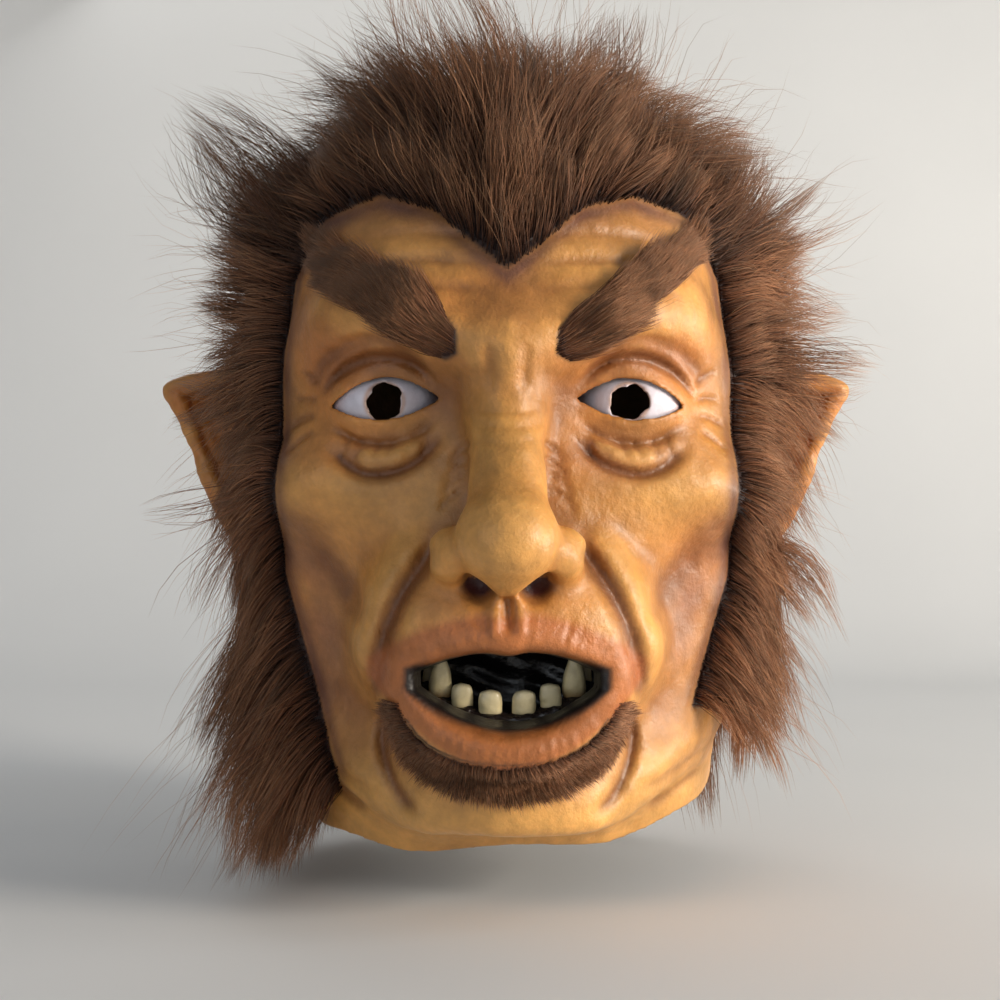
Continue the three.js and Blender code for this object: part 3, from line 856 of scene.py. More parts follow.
def build_ear(name, side):
    """A pointed ear: a thin cupped blade with a rolled rim and an inner fold."""
    clay = Clay((72, -2, -50), (124, 34, 26), 0.8)
    x, y, z = clay.grid()
    smooth_outline = [tuple(point) for point in curve_points(EAR_OUTLINE, 40)]
    edge = outline_distance(x, z, smooth_outline)
    front = 11.5 + 0.16 * (x - 98) - 0.05 * (z + 10)
    cup = 6.0 * step_between(0, 10, -edge) - 2.2 * np.exp(-((edge + 8) / 2.0) ** 2)
    blade = smooth_max(np.abs(y - front - cup) - 1.5, edge + 1.5, 2.0)
    rim_radius = 2.9 + 0.9 * step_between(-22, -38, z) + 0.5 * np.sin(0.22 * z)
    rim = np.sqrt((edge + 3.0) ** 2 + (y - front) ** 2) - rim_radius
    tip = np.sqrt((x - 115) ** 2 + (y - front - 1) ** 2 + (z - 9.5) ** 2) - 2.3
    field = smooth_min(smooth_min(blade, rim, 2.5), tip, 3.0)
    root = ellipsoid((80, 12.5, -12), (9, 6, 26))[0](x, y, z)
    field = smooth_min(field, root, 5.0)
    bowl = ellipsoid((90, 8.5, -14), (7.5, 6.5, 11))[0](x, y, z)
    field = smooth_max(field, -bowl, 3.0)
    field = field + 0.35 * np.sin(0.5 * z + 0.3 * x) * np.exp(-(((edge + 9) / 5) ** 2))
    clay.field = np.maximum(field, 0.3 - head_distance(x, y, z)).astype(np.float32)
    points, faces = clay.mesh()
    normals = vertex_normals(points, faces)
    points = uneven(points, normals, (0.25, 14, 8), (0.12, 5, 9))
    hollow = -clay.sample(points, blurred(np.clip(clay.field, -5, 5), 3))
    facing = np.clip(-normals[:, 1], 0, 1)
    # the ear's airbrush: painted highlights on its ridges, painted shade in its hollows and towards its root
    paint = painted(len(points), ORANGE * [1.0, 0.85, 0.8],
                    (YELLOW, 0.75 * step_between(0.4, 1.5, -hollow)),
                    (BROWN, 0.85 * step_between(0.1, 1.1, hollow) * (0.35 + 0.65 * facing)),
                    (PURPLE, 0.55 * step_between(100, 88, points[:, 0]) * facing))
    if side < 0:
        points = points * [-1, 1, 1]
        faces = faces[:, ::-1]
    mesh_piece(f"{name}_cast", points, faces, name, latex_material(f"{name}_latex"), paint)


# ---- eyes, mouth and teeth ----

EYE_WHITE = np.array([0.74, 0.70, 0.78])
EYE_CORNER = np.array([0.55, 0.30, 0.26])
EYE_RIM = np.array([0.50, 0.24, 0.10])
EYE_BACK = np.array([0.25, 0.22, 0.2])
LINING_BLACK = np.array([0.016, 0.014, 0.014])
LINING_CORNER = np.array([0.07, 0.022, 0.012])
GUM_BLACK = np.array([0.020, 0.013, 0.011])
# painted light: the gum is lighter where it faces up
GUM_TOP_LIGHT = np.array([0.10, 0.030, 0.014])
TOOTH = np.array([0.96, 0.81, 0.47])
TOOTH_TIP = np.array([1.00, 0.89, 0.60])
TOOTH_ROOT = np.array([0.24, 0.10, 0.02])
TOOTH_STAIN = np.array([0.55, 0.40, 0.14])


def build_eye(name, side):
    """A thin painted shell behind the lids, with a rough knife-cut hole."""
    thickness = 1.6
    centre = np.array([side * EYE[0], EYEBALL_Y, EYE[2]])
    clay = Clay(centre - [21, 19, 16], centre + [21, 2, 16], 0.6)
    clay.work(ellipsoid(centre, (17.2, 16.0, 12.6)), 0, both=False)
    solid = clay.field.copy()
    x, y, z = clay.grid()
    shell = np.maximum(solid, -(solid + thickness))
    shell = np.maximum(shell, y - (centre[1] - 5))
    px, pz = x - centre[0], z - centre[2]
    angle = np.arctan2(pz, px)
    ragged = 5.2 + 0.45 * np.sin(2 * angle + side) + 0.28 * np.sin(5 * angle + 2 * side)
    ragged = ragged + 0.16 * np.sin(8 * angle + 4 * side + np.sin(3 * angle)) + 0.10 * np.sin(17 * angle)
    hole = np.sqrt(px * px + pz * pz) - ragged
    clay.field = smooth_max(shell, -hole, 0.5).astype(np.float32)
    points, faces = clay.mesh()
    rim = np.sqrt((points[:, 0] - centre[0]) ** 2 + (points[:, 2] - centre[2]) ** 2)
    corner = np.abs(points[:, 0] - centre[0])
    paint = painted(len(points), EYE_WHITE,
                    (EYE_CORNER, 0.6 * step_between(10, 16, corner)),
                    (EYE_RIM, 0.7 * np.exp(-((rim - 5.4) / 0.7) ** 2)))
    paint[clay.sample(points, solid) < -0.5 * thickness] = EYE_BACK
    mesh_piece(f"{name}_shell", points, faces, name,
               painted_material(f"{name}_paint", (0.22, 0.4), 0.15, 0.3), paint)


def build_lining(latex, closed):
    """The black cup behind the lips, with soft folds on its wall."""
    low, high = box_mm("mouth_lining")
    centre = np.array([0, -86.0, -82.0])
    clay = Clay(low - 3, high + 3, 0.9)
    clay.work(ellipsoid(centre, (37, 24, 22.3)), 0, both=False)
    solid = clay.field.copy()
    x, y, z = clay.grid()
    folds = 0.5 * np.sin(0.55 * x + 0.2 * z) * np.sin(0.4 * z) + 0.4 * np.sin(0.8 * z + 0.25 * x)
    shell = np.maximum(solid, -(solid + 1.8 + folds))
    shell = np.maximum(shell, -94.5 - y + 0.004 * x * x)
    face = latex.sample(clay.places(), closed).reshape(solid.shape)
    clay.field = np.maximum(shell, face + LATEX + 0.7).astype(np.float32)
    points, faces = clay.mesh()
    corner = step_between(22, 34, np.abs(points[:, 0]))
    paint = painted(len(points), LINING_BLACK, (LINING_CORNER, corner * 0.5))
    mesh_piece("mouth_lining_cup", points, faces, "mouth_lining",
               painted_material("black_latex", (0.12, 0.3), 0.5, 0.4), paint)


def tooth_form(name):
    """The middle and the size of a tooth in the frame."""
    low, high = box_mm(name)
    return (low + high) / 2, high - low


def build_gum():
    """A lumpy ridge that holds the teeth, with a low collar around each root."""
    low, high = box_mm("lower_gum")
    clay = Clay(low - 5, high + [5, 5, 8], 0.6)
    feet = []
    for side in ("right", "left"):
        forms = list(TOOTH_FORMS) if side == "left" else list(TOOTH_FORMS)[::-1]
        for form in forms:
            centre, size = tooth_form(f"{side}_{form}")
            feet.append((centre[0], centre[1], centre[2] - size[2] / 2 - 2.6))
            clay.work(ellipsoid((centre[0], centre[1], centre[2] - size[2] / 2 - 1.2),
                                (size[0] * 0.66, size[1] * 0.95, 2.6)), 2.0, both=False)
    clay.work(tube(feet, [2.6, 3.0, 3.2, 3.3, 3.3, 3.2, 3.0, 2.6], 30), 2.5, both=False)
    points, faces = clay.mesh()
    normals = vertex_normals(points, faces)
    points = uneven(points, normals, (0.25, 5, 12), (0.1, 2.2, 13))
    # painted light on the gum's upward faces
    paint = painted(len(points), GUM_BLACK, (GUM_TOP_LIGHT, 0.7 * step_between(0.1, 0.9, normals[:, 2])))
    mesh_piece("lower_gum_ridge", points, faces, "lower_gum",
               painted_material("gum_latex", (0.15, 0.32), 0.4, 0.4), paint)


# Width of a tooth at 0, 1/4, 1/2, 3/4 and all of its height, as a share of its widest
TOOTH_FORMS = {
    "inner_incisor": (0.80, 0.98, 1.0, 0.96, 0.82),
    "outer_incisor": (0.78, 0.97, 1.0, 0.94, 0.78),
    "fang": (0.82, 1.0, 0.88, 0.60, 0.22),
    "back_tooth": (0.85, 1.0, 0.95, 0.78, 0.45),
}


def build_tooth(side, form, number):
    """A worn tooth: rounded square sections, wider at the belly, with a bent axis."""
    name = f"{side}_{form}"
    centre, size = tooth_form(name)
    rng = np.random.default_rng(SEED + 40 + number)
    rings, around = 18, 24
    points = []
    lean = rng.uniform(-0.6, 0.6)
    for i in range(rings + 1):
        share = i / rings
        width = np.interp(share, np.linspace(0, 1, 5), TOOTH_FORMS[form])
        cap = math.sqrt(max(1 - max(0.0, (share - 0.86) / 0.14) ** 2, 0.0))
        base = math.sqrt(max(1 - max(0.0, (0.10 - share) / 0.10) ** 2, 0.0))
        width *= (0.25 + 0.75 * cap) * (0.6 + 0.4 * base)
        bend = -0.35 * size[1] * math.sin(math.pi * share * 0.5) * (1.2 if form == "fang" else 0.5)
        for k in range(around):
            angle = 2 * math.pi * k / around
            c, s = math.cos(angle), math.sin(angle)
            px = math.copysign(abs(c) ** 0.85, c) * size[0] * 0.60 * width
            py = math.copysign(abs(s) ** 0.85, s) * size[1] * 0.64 * (0.35 + 0.65 * width)
            points.append((centre[0] + px + lean * share, centre[1] + py + bend,
                           centre[2] - size[2] / 2 - 0.8 + share * (size[2] + 0.8)))
    points = np.array(points)
    points += 0.10 * wobble(points, 3.2, number + 60)[:, None] * [1, 1, 0.4]
    ring = np.arange(rings * around).reshape(rings, around)
    after = np.roll(ring, -1, 1)
    faces = np.stack([ring, after, after + around, ring + around], -1).reshape(-1, 4)
    bottom, top = len(points), len(points) + 1
    points = np.vstack([points, points[:around].mean(0), points[-around:].mean(0)])
    k = np.arange(around)
    last = rings * around
    caps = np.vstack([
        np.stack([np.full(around, bottom), (k + 1) % around, k], -1),
        np.stack([np.full(around, top), last + k, last + (k + 1) % around], -1),
    ])
    share = (points[:, 2] - points[:, 2].min()) / size[2]
    paint = painted(len(points), TOOTH,
                    (TOOTH_TIP, 0.6 * step_between(0.5, 1.0, share)),
                    (TOOTH_ROOT, 0.85 * step_between(0.34, 0.08, share)),
                    (TOOTH_STAIN, 0.22 * (0.5 + 0.5 * wobble(points, 4, number))))
    mesh_piece(f"{name}_cast", points, [faces, caps], name,
               painted_material(f"{name}_paint", (0.2, 0.38), 0.18, 0.3), paint)


# ---- fur ----

# the dark roots are partly the fur's own darker base and partly painted shade deep in the pile
ROOT_TONE = np.array([0.024, 0.011, 0.009])
MIDDLE_TONE = np.array([0.150, 0.059, 0.027])
TIP_TONE = np.array([0.36, 0.178, 0.090])
FUR_ROOM = 15.5                         # the pile may reach this far past the CAD box
LIMIT_LOW = np.array(CAD_BOX[0]) / MM - FUR_ROOM
LIMIT_HIGH = np.array(CAD_BOX[1]) / MM + FUR_ROOM
STRAND = 0.13        # radius of a strand at its root
SEGMENTS = 5
STRANDS_IN_PIECE = 7000                 # keeps each piece under 200,000 triangles
CROWN_SEAM, NAPE_SEAM = 40.0, 26.0      # where the panels meet
SEAM_LAP = 2.5                          # the fur of two panels mingles this far across the seam
LEFT_END, RIGHT_END = -86.0, -114.0     # lower ends of the side panels


def drawn(count, draw):
    """The first rows of repeated draws, as many as are wanted."""
    found = [draw()]
    while sum(map(len, found)) < count:
        found.append(draw())
    return np.vstack(found)[:count]


def scatter(rng, count, low, high, surface, keep):
    """Random places, evenly over the area of the surface inside a box, kept by a test."""
    def draw():
        spot = rng.uniform(low, high, (count * 6, 3))
        spot = surface.onto(spot[np.abs(surface.gap(spot)) < 5])
        spot = spot[(spot > low).all(1) & (spot < high).all(1)]
        return spot[keep(spot) > 0]

    return drawn(count, draw)


def nearest(points, targets):
    """Index of the nearest target for each point, in blocks that fit in memory."""
    out = np.empty(len(points), int)
    square = (targets ** 2).sum(1)
    for start in range(0, len(points), 2000):
        block = points[start:start + 2000]
        out[start:start + 2000] = (square - 2 * block @ targets.T).argmin(1)
    return out


def gather(paths, roots, rng, size, strength):
    """Draws the strands of each tuft towards its leader, more so near their tips."""
    leaders = rng.choice(len(roots), max(len(roots) // size, 1), replace=False)
    owner = nearest(roots, roots[leaders])
    share = np.linspace(0, 1, SEGMENTS + 1)[None, :, None]
    offset = (roots - roots[leaders][owner])[:, None]
    pulled = paths[leaders][owner] + offset * (1 - 0.9 * share)
    amount = strength * np.clip(rng.normal(0.85, 0.25, len(roots)), 0, 1)[:, None, None]
    return paths + (pulled - paths) * amount * share ** 1.4


def grow(surface, roots, heading, length, rise, rng, tufts, curl, gravity, bow):
    """Strand paths (strands, segments + 1, 3) that start at the roots and follow a heading."""
    count = len(roots)
    normal = surface.normal(roots)
    along = unit(heading - normal * (heading * normal).sum(1, keepdims=True))
    side = np.cross(normal, along)
    seed = int(rng.integers(1e6))
    sway = 0.30 * wobble(roots, 42, seed) + 0.18 * wobble(roots, 13, seed + 1) + rng.normal(0, 0.11, count)
    along = unit(along + side * sway[:, None])
    rise = np.clip(rise + 0.12 * wobble(roots, 17, seed + 2) + rng.normal(0, 0.07, count), 0.03, 1.35)
    length = length * np.clip(1 + 0.13 * wobble(roots, 9, seed + 3) + rng.normal(0, 0.13, count), 0.4, 1.5)
    step = (length / SEGMENTS)[:, None]
    phase = 3 * wobble(roots, 22, seed + 4) + rng.normal(0, 0.5, count)
    paths = [roots - normal * 0.4]
    for i in range(SEGMENTS):
        share = (i + 0.5) / SEGMENTS
        angle = rise * (1 - bow * share)
        direction = along * np.cos(angle)[:, None] + normal * np.sin(angle)[:, None]
        direction = direction + np.array([0, 0, -1.0]) * gravity * share
        wave = (np.sin(phase + 4.5 * share)[:, None] * side
                + 0.7 * np.cos(phase + 3.5 * share)[:, None] * normal)
        paths.append(paths[-1] + unit(direction + curl * wave) * step)
    paths = np.stack(paths, axis=1)
    for size, strength in tufts:
        paths = gather(paths, roots, rng, size, strength)
    return paths


def shifted(paths, surface, amount):
    """Strand points moved along the surface's normal, by their gap and their share of the length."""
    for i, share in enumerate(np.linspace(0, 1, SEGMENTS + 1)[1:], 1):
        points = paths[:, i]
        paths[:, i] = points + surface.normal(points) * amount(surface.gap(points), share)[:, None]
    return paths


def keep_outside(paths, surface, clearance):
    """Pushes strand points that dip into the head back out."""
    return shifted(paths, surface, lambda gap, share: np.clip(clearance * share - gap, 0, 20))


def keep_close(paths, surface, highest):
    """Pulls strand points that stand too far off the surface back towards it."""
    return shifted(paths, surface, lambda gap, share: -0.85 * np.clip(gap - highest * share ** 0.5, 0, 20))


def keep_in_box(paths):
    """Shortens strands that would reach past the room around the frame."""
    roots = paths[:, :1]
    for _ in range(6):
        over = ((paths < LIMIT_LOW) | (paths > LIMIT_HIGH)).any(axis=(1, 2))
        paths[over] = roots[over] + (paths[over] - roots[over]) * 0.86
    return paths


def strand_mesh(paths, width, tone, rng):
    """Tapered three-sided strands with closed ends, and their colours."""
    count, rows, _ = paths.shape
    tangent = unit(np.gradient(paths, axis=1))
    a = unit(np.cross(tangent, unit(rng.normal(size=(count, 1, 3)))))
    b = np.cross(tangent, a)
    share = np.linspace(0, 1, rows)
    radius = (width * np.clip(rng.normal(1, 0.2, count), 0.5, 1.6))[:, None] * (1 - 0.8 * share[None] ** 1.5)
    ring = []
    for k in range(3):
        angle = 2 * math.pi * k / 3
        ring.append(paths + (a * math.cos(angle) + b * math.sin(angle)) * radius[..., None])
    ring = np.stack(ring, axis=2)[:, :-1]
    points = np.concatenate([ring.reshape(count, -1, 3), paths[:, -1:]], axis=1)
    per = points.shape[1]
    base = (np.arange(count) * per)[:, None, None]
    row = (np.arange(rows - 2) * 3)[None, :, None]
    quads = []
    for k in range(3):
        n = (k + 1) % 3
        quads.append(np.stack([base + row + k, base + row + n, base + row + 3 + n, base + row + 3 + k], -1))
    quads = np.concatenate(quads, axis=2).reshape(-1, 4)
    last = (rows - 2) * 3
    base = base[:, 0, 0]
    tris = np.concatenate([
        np.stack([base + last + k, base + last + (k + 1) % 3, base + per - 1], -1) for k in range(3)
    ] + [np.stack([base + 2, base + 1, base], -1)])
    # colour from root to tip: the dark roots are partly painted shade deep in the pile
    level = np.concatenate([np.repeat(share[:-1], 3), [1.0]])[:, None]
    root, middle, tip = tone
    low, high = np.clip(level / 0.28, 0, 1), np.clip((level - 0.28) / 0.72, 0, 1)
    paint = root + (middle - root) * low + (tip - middle) * high
    patch = 1 + 0.22 * wobble(paths[:, 0], 16, 31)
    shade = np.clip(patch * rng.normal(1, 0.16, count), 0.4, 1.8)[:, None, None]
    warm = rng.normal(0, 0.06, (count, 1, 1)) * np.array([1.0, 0.0, -0.5])
    paint = np.clip(paint[None] * (shade + warm), 0, 1)
    return points.reshape(-1, 3), quads, tris, paint.reshape(-1, 3)


def bare_gap(points):
    """Roughly how far points lie outside the bare face, along a surface that slants away at the sides."""
    x, y, z = points.T
    gap = hairline_distance(x, z)
    slant = np.where(gap > 0, 1 + 3.5 * step_between(50, 62, np.abs(x)), 1)
    return np.where(y < -20, gap * slant, 60.0)


def crown_keep(points):
    x, y, z = points.T
    peak = np.minimum(50 - np.abs(x), -y)
    return np.minimum(bare_gap(points), np.maximum(z - CROWN_SEAM + SEAM_LAP, peak))


def side_keep(side, end):
    def keep(points):
        x, y, z = points.T
        ear = np.maximum(np.abs(y - 12) - 7, np.abs(z + 12) - 27)
        edges = [bare_gap(points), side * x - 50, CROWN_SEAM + SEAM_LAP - z, z - end - 0.12 * (y + 20),
                 NAPE_SEAM + SEAM_LAP - y, ear]
        return np.minimum.reduce(edges)
    return keep


def nape_keep(points):
    x, y, z = points.T
    return np.minimum.reduce([y - NAPE_SEAM + SEAM_LAP, CROWN_SEAM + SEAM_LAP - z, z - hem_height(x, y) - 2])


def build_backing(name, low, high, keep, surface, depth=1.3):
    """The fur's woven backing with its dense underfur, thin along the hairline."""
    clay = Clay(np.array(low) - 4, np.array(high) + 4, 1.6)
    shape = clay.field.shape
    places = clay.places()
    gap = surface.gap(places).reshape(shape)
    thick = 0.3 + depth * step_between(2, 30, bare_gap(places)).reshape(shape)
    shell = np.maximum(gap - thick, -1.5 - gap)
    clay.field = np.maximum(shell, 2.2 - keep(places).reshape(shape)).astype(np.float32)
    points, quads = clay.mesh()
    points = uneven(points, vertex_normals(points, quads), (0.25, 4, 17))
    # the underfur is dark as the roots, darkest towards the face: partly its own colour, partly painted shade
    # under the pile
    paint = painted(len(points), ROOT_TONE, (MIDDLE_TONE * 0.7, step_between(10, 36, bare_gap(points))))
    mesh_piece(f"{name}_backing", points, quads, name, fur_material(f"{name}_underfur"), paint)


def pile_pieces(name, parts):
    """Writes strands as a few pieces of limited size, ordered from front to back."""
    paths = np.concatenate([path for path, _, _ in parts])
    order = np.argsort(paths[:, 0, 1], kind="stable")
    count = max(1, math.ceil(len(paths) / STRANDS_IN_PIECE))
    widths = np.concatenate([np.full(len(path), width) for path, width, _ in parts])
    tones = np.concatenate([np.full(len(path), k) for k, (path, _, _) in enumerate(parts)])
    material = fur_material(f"{name}_fur")
    for number, chosen in enumerate(np.array_split(order, count)):
        made = []
        for k, (_, _, tone) in enumerate(parts):
            mine = chosen[tones[chosen] == k]
            if len(mine):
                rng = np.random.default_rng(SEED + 7 * number + k)
                made.append(strand_mesh(paths[mine], widths[mine[0]], tone, rng))
        points, quads, tris, paint = joined(made)
        piece = f"{name}_pile_{number + 1}" if count > 1 else f"{name}_pile"
        mesh_piece(piece, points, [quads, tris], name, material, paint)


def joined(parts):
    """Several (points, quads, tris, paint) sets as one."""
    points, quads, tris, paint = [], [], [], []
    shift = 0
    for p, q, t, c in parts:
        points.append(p)
        quads.append(q + shift)
        tris.append(t + shift)
        paint.append(c)
        shift += len(p)
    return np.vstack(points), np.vstack(quads), np.vstack(tris), np.vstack(paint)


def build_fur(name, count, low, high, keep, heading, length, lift, surface, seed, gravity, tufts, locks,
              shade):
    """One fur panel: its backing, the combed strands, long pointed locks and stray hairs."""
    rng = np.random.default_rng(seed)
    total = int(count * HAIR_SHARE)
    roots = scatter(rng, total, np.array(low, float), np.array(high, float), surface, keep)
    fringe = roots[bare_gap(roots) < 10]
    fringe = surface.onto(fringe + rng.normal(0, 1.3, fringe.shape))
    roots = np.vstack([roots, fringe[keep(fringe) > 0]])
    size = length(roots) * (0.48 + 0.52 * step_between(0, 20, bare_gap(roots)))
    rise = lift(roots)
    paths = grow(surface, roots, heading(roots), size, rise, rng, tufts, curl=0.15, gravity=gravity, bow=0.75)
    paths = keep_in_box(keep_outside(paths, surface, 5.0))
    # the panel's tones scaled by shade, which on the left side adds painted light
    coat_tones = [tone * shade for tone in (ROOT_TONE, MIDDLE_TONE, TIP_TONE)]
    stray_tones = [tone * shade for tone in (MIDDLE_TONE, TIP_TONE * 0.9, TIP_TONE * 1.15)]
    parts = [(paths, STRAND, coat_tones)]
    # long locks: strands near a few chosen places, drawn together to a point
    chosen = rng.choice(len(roots), locks, replace=False)
    near = nearest(roots, roots[chosen])
    gap = np.linalg.norm(roots - roots[chosen][near], axis=1)
    mine = np.flatnonzero((gap < 7.5) & (rng.random(len(roots)) < 0.8) & (bare_gap(roots) > 8))
    stretch = rng.uniform(1.2, 1.9, locks)[near[mine]] * rng.uniform(0.7, 1.0, len(mine))
    raised = rise[mine] + rng.uniform(-0.05, 0.5, locks)[near[mine]]
    paths = grow(surface, roots[mine], heading(roots[mine]), size[mine] * stretch, raised, rng,
                 [(40, 0.85)], curl=0.26, gravity=gravity, bow=0.5)
    parts.append((keep_in_box(keep_outside(paths, surface, 6.0)), STRAND * 0.9, coat_tones))
    stray = rng.choice(len(roots), len(roots) // 22, replace=False)
    paths = grow(surface, roots[stray], heading(roots[stray]), size[stray] * 1.35, rise[stray] + 0.22, rng,
                 [(4, 0.3)], curl=0.34, gravity=gravity * 1.3, bow=0.3)
    parts.append((keep_in_box(keep_outside(paths, surface, 6.0)), STRAND * 0.6, stray_tones))
    pile_pieces(name, parts)
    build_backing(name, low, high, keep, surface)


def heading_crown(roots):
    x, y, z = roots.T
    down = step_between(10, 95, y)[:, None] * np.array([0, 0, -1.8])
    return np.stack([0.016 * x - 0.12, 0.85 + 0 * x, 0.72 - 0.008 * (z - 60)], 1) + down


def heading_side(roots):
    x, _, z = roots.T
    fall = np.interp(z, [-110, -60, -20, 10, 40], [-1.1, -0.95, -0.5, 0.0, 0.7])
    back = np.interp(z, [-110, -60, -20, 40], [0.30, 0.50, 0.75, 0.7])
    return np.stack([0.5 * np.sign(x), back, fall], 1)


def heading_nape(roots):
    x = roots[:, 0]
    return np.stack([0.006 * x, 0 * x + 0.1, 0 * x - 1.0], 1)


def crown_lift(roots):
    y = roots[:, 1]
    return 0.50 + 0.28 * step_between(-30, -80, y) - 0.18 * step_between(20, 90, y)


def side_length(roots):
    return 36 - 8 * np.exp(-((roots[:, 2] + 8) / 26) ** 2)


def side_lift(roots):
    _, y, z = roots.T
    front = step_between(-20, -55, y)
    upright = 0.40 * step_between(12, 2, bare_gap(roots))
    return 0.55 + 0.35 * front + upright - 0.25 * np.exp(-((z + 8) / 28) ** 2) * (1 - front)


def build_coat(surface):
    tufts = [(10, 0.35), (90, 0.35)]
    # The last number scales a panel's colours: lower on the crown and the nape, higher on the sides; the left
    # side, which faces the key light, gets most, as painted light.
    build_fur("crown_fur", 26000, (-88, -100, 34), (88, 102, 106), crown_keep, heading_crown,
              lambda roots: np.full(len(roots), 44.0), crown_lift, surface, SEED + 10, 0.10,
              [(12, 0.45), (120, 0.45)], 60, 0.80)
    build_fur("left_side_fur", 9600, (50, -95, -90), (88, 29, 43), side_keep(1, LEFT_END), heading_side,
              side_length, side_lift, surface, SEED + 11, 0.45, tufts, 16, 1.3)
    build_fur("right_side_fur", 11800, (-88, -95, -122), (-50, 29, 43), side_keep(-1, RIGHT_END),
              heading_side, lambda roots: side_length(roots) + 16 * step_between(-50, -100, roots[:, 2]),
              side_lift, surface, SEED + 12, 0.45, tufts, 22, 1.1)
    build_fur("nape_fur", 14500, (-88, 23, -120), (88, 102, 43), nape_keep, heading_nape,
              lambda roots: np.full(len(roots), 46.0), lambda roots: np.full(len(roots), 0.34), surface,
              SEED + 13, 0.2, tufts, 30, 0.9)


# ---- fur strips on the face ----

def brow_gap(side):
    """Distance inside the brow's outline: a slanted strip that narrows at both ends."""
    def gap(x, z):
        u = (side * x - 13.5) / 41
        middle = 15.0 + 22 * u + 8.0 * u * u
        half = 6.6 * np.clip(np.minimum(u * 6 + 0.45, (1 - u) * 3 + 0.35), 0, 1)
        return np.minimum.reduce([half - np.abs(z - middle), u * 41, (1 - u) * 41])
    return gap


def chin_ring(x, z):
    """1 along the middle line of the chin strip, less above it and more below."""
    return np.sqrt((x / 31.5) ** 2 + ((z + 86) / 19.0) ** 2)


def chin_gap(x, z):
    """Distance inside the U-shaped strip under the lower lip."""
    u = chin_ring(x, z)
    half = np.interp(-z, [84, 90, 98, 105], [1.6, 3.6, 4.7, 5.3])
    return np.minimum(half - np.abs(u - 1) * np.hypot(x, z + 86) / np.maximum(u, 0.05), -84 - z)


def front_point(surface, x, z):
    """The first point of the surface met when coming from the front."""
    points = np.stack([x, np.full(len(x), -126.0), z], 1)
    for _ in range(26):
        points[:, 1] += 0.85 * surface.gap(points)
    return points


def build_strip(name, count, gap, low, high, heading, length, lift, width, tufts, surface, seed):
    """A short fur strip glued on the face: a backing strip and combed strands."""
    rng = np.random.default_rng(seed)
    wanted = int(count * max(HAIR_SHARE, 0.5))

    def draw():
        spot = rng.uniform(low, high, (wanted * 3, 2))
        return spot[gap(spot[:, 0], spot[:, 1]) > rng.uniform(-0.5, 1.0, len(spot))]

    spots = drawn(wanted, draw)
    roots = front_point(surface, spots[:, 0], spots[:, 1])
    size = length(roots, rng)
    paths = grow(surface, roots, heading(roots), size, np.full(len(roots), lift), rng, tufts,
                 curl=0.07, gravity=0.03, bow=0.6)
    paths = keep_close(keep_outside(paths, surface, 1.2), surface, 5.5)
    pile_pieces(name, [(paths, width, (ROOT_TONE * 1.6, MIDDLE_TONE * 1.1, TIP_TONE))])
    # backing strip
    corner_low = np.array([low[0] - 3, roots[:, 1].min() - 5, low[1] - 3])
    corner_high = np.array([high[0] + 3, roots[:, 1].max() + 5, high[1] + 3])
    pad = Clay(corner_low, corner_high, 0.8)
    shape = pad.field.shape
    places = pad.places()
    above = surface.gap(places).reshape(shape)
    inside = gap(places[:, 0], places[:, 2]).reshape(shape)
    pad.field = np.maximum(np.maximum(above - 0.35, -1.2 - above), 1.2 - inside).astype(np.float32)
    points, quads = pad.mesh()
    # the backing strip takes the dark root tone as painted shade under the strands
    mesh_piece(f"{name}_backing", points, quads, name, fur_material(f"{name}_underfur"),
               painted(len(points), ROOT_TONE * 1.3))


def build_brows(surface):
    for name, side in (("left_brow_fur", 1), ("right_brow_fur", -1)):
        low, high = sorted((side * 11, side * 58))

        def heading(roots, side=side):
            return np.tile([side * 0.80, 0.35, 0.66], (len(roots), 1))

        def length(roots, rng, side=side):
            u = np.clip((side * roots[:, 0] - 13) / 42, 0, 1)
            return np.interp(u, [0, 0.15, 0.5, 1], [10, 16, 21, 15]) * rng.uniform(0.7, 1.15, len(roots))

        build_strip(name, 9500, brow_gap(side), (low, 4), (high, 54), heading, length, 0.36, 0.12,
                    [(14, 0.5), (70, 0.3)], surface, SEED + 20 + side)


def build_chin(surface):
    def heading(roots):
        out = roots[:, [0, 2]] - [0, -80]
        return np.stack([0.9 * out[:, 0], 0 * out[:, 0], out[:, 1]], 1) / 20

    def length(roots, rng):
        return rng.uniform(3.2, 5.4, len(roots))

    build_strip("chin_fur", 9800, chin_gap, (-38, -113), (38, -84), heading, length, 0.85, 0.11, [(10, 0.3)],
                surface, SEED + 30)


# ---- stage ----

# In metres: the gap under the lowest hair, the floor's reach, and where and how the wall rises from it
FLOOR_GAP, FLOOR_REACH = 0.002, 9.0
BEND_START, BEND_RADIUS, BEND_STEPS, WALL_TOP = 0.55, 0.35, 12, 4.0


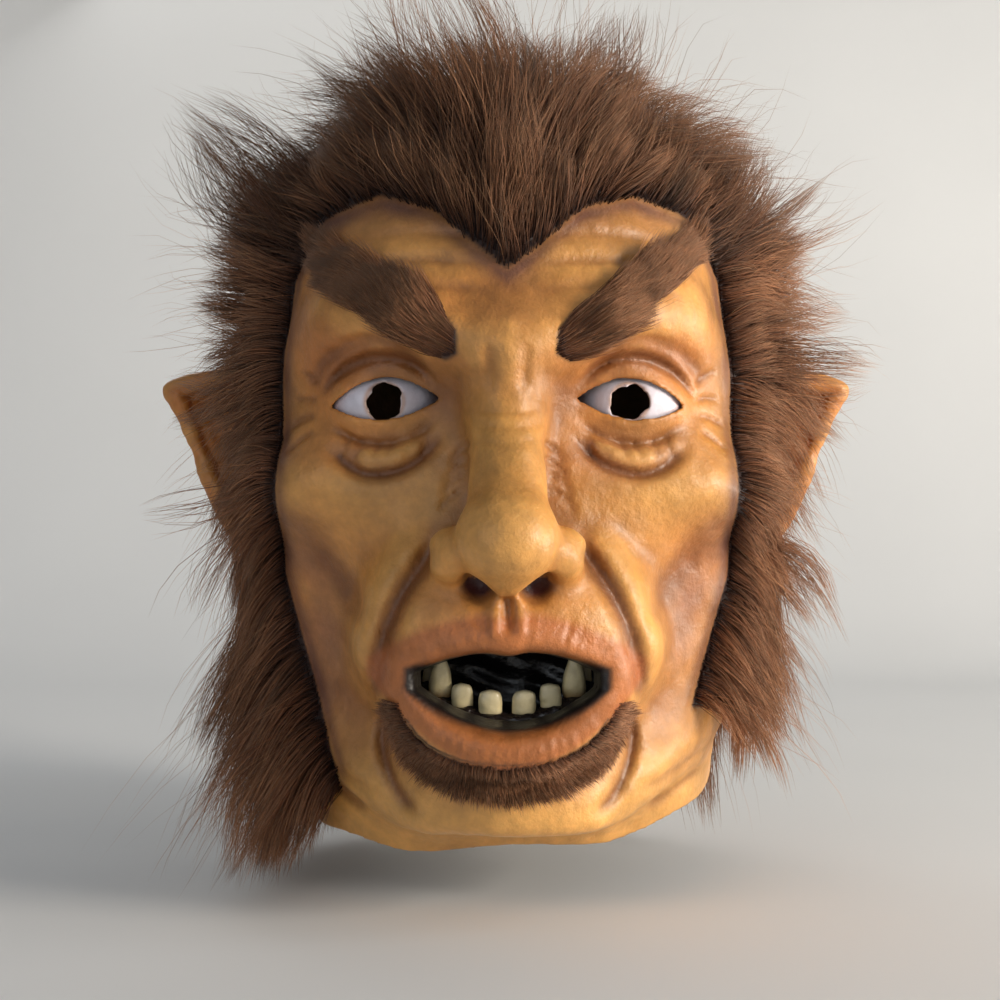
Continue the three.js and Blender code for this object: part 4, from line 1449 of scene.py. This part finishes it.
def build_stage(floor_height):
    """A pale seamless sweep: floor, curve and wall."""
    profile = [(-FLOOR_REACH, 0.0), (BEND_START, 0.0)]
    for k in range(1, BEND_STEPS + 1):
        angle = math.pi / 2 * k / BEND_STEPS
        profile.append((BEND_START + BEND_RADIUS * math.sin(angle), BEND_RADIUS * (1 - math.cos(angle))))
    profile.append((BEND_START + BEND_RADIUS, WALL_TOP))
    points = [(x, y, z + floor_height) for x in (-FLOOR_REACH, FLOOR_REACH) for y, z in profile]
    n = len(profile)
    mesh = bpy.data.meshes.new("sweep")
    mesh.from_pydata(points, [], [(k, k + n, k + n + 1, k + 1) for k in range(n - 1)])
    mesh.shade_smooth()
    shader = Shader("sweep_paint", Roughness=0.85)
    shader.colour(shader.times((0.72, 0.73, 0.735), shader.mottle(3, 2, 0.97, 1.03)))
    mesh.materials.append(shader.material)
    sweep = bpy.data.objects.new("sweep", mesh)
    bpy.context.collection.objects.link(sweep)
    sweep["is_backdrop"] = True


def add_light(name, place, aim, size, power, colour):
    """A square area light at a place, turned towards a point."""
    data = bpy.data.lights.new(name, "AREA")
    data.size = size
    data.energy = power
    data.color = colour
    lamp = bpy.data.objects.new(name, data)
    lamp.location = place
    direction = np.array(aim) - np.array(place)
    lamp.rotation_mode = "QUATERNION"
    lamp.rotation_quaternion = Vector(direction).to_track_quat("-Z", "Y")
    bpy.context.collection.objects.link(lamp)


def build_lights():
    add_light("key", (1.15, -0.60, 0.26), (0.03, 0, 0), 0.36, 16, (1.0, 0.90, 0.77))
    add_light("side", (1.0, 0.02, -0.06), (0.08, 0, -0.03), 0.30, 5, (1.0, 0.90, 0.78))
    add_light("fill", (-0.8, -1.2, 0.35), (0, 0, 0), 1.2, 3.3, (0.86, 0.93, 1.0))
    add_light("top", (0.1, -0.2, 1.3), (0, 0, 0), 1.0, 0.5, (1.0, 0.98, 0.95))
    add_light("back", (-0.35, 0.72, 0.62), (0, 0.05, 0), 0.5, 1.2, (1.0, 0.98, 0.95))
    add_light("wall", (1.2, -0.3, 0.8), (0.6, 0.9, 0.1), 0.7, 3.4, (0.95, 0.98, 1.0))
    world = bpy.data.worlds.new("studio")
    world.use_nodes = True
    world.node_tree.nodes["Background"].inputs["Color"].default_value = (0.86, 0.90, 0.95, 1)
    world.node_tree.nodes["Background"].inputs["Strength"].default_value = 0.21
    bpy.context.scene.world = world
    bpy.context.scene.view_settings.view_transform = "Standard"


def build_camera():
    data = bpy.data.cameras.new("camera")
    data.sensor_width = 36
    data.lens = 60
    camera = bpy.data.objects.new("camera", data)
    camera.location = (-0.002, -0.56, -0.028)
    camera.rotation_euler = (math.pi / 2, 0, 0)
    bpy.context.collection.objects.link(camera)
    bpy.context.scene.camera = camera


build_camera()
build_lights()
CLAY, OUTER, CLOSED = build_skin()
build_ear("left_ear", 1)
build_ear("right_ear", -1)
build_eye("left_eye_white", 1)
build_eye("right_eye_white", -1)
build_lining(CLAY, CLOSED)
build_gum()
for number, (side, form) in enumerate((s, f) for s in ("left", "right") for f in TOOTH_FORMS):
    build_tooth(side, form, number)
SURFACE = Sculpted(CLAY, OUTER)
build_coat(SURFACE)
build_brows(SURFACE)
build_chin(SURFACE)
build_stage(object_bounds()[0][2] - FLOOR_GAP)
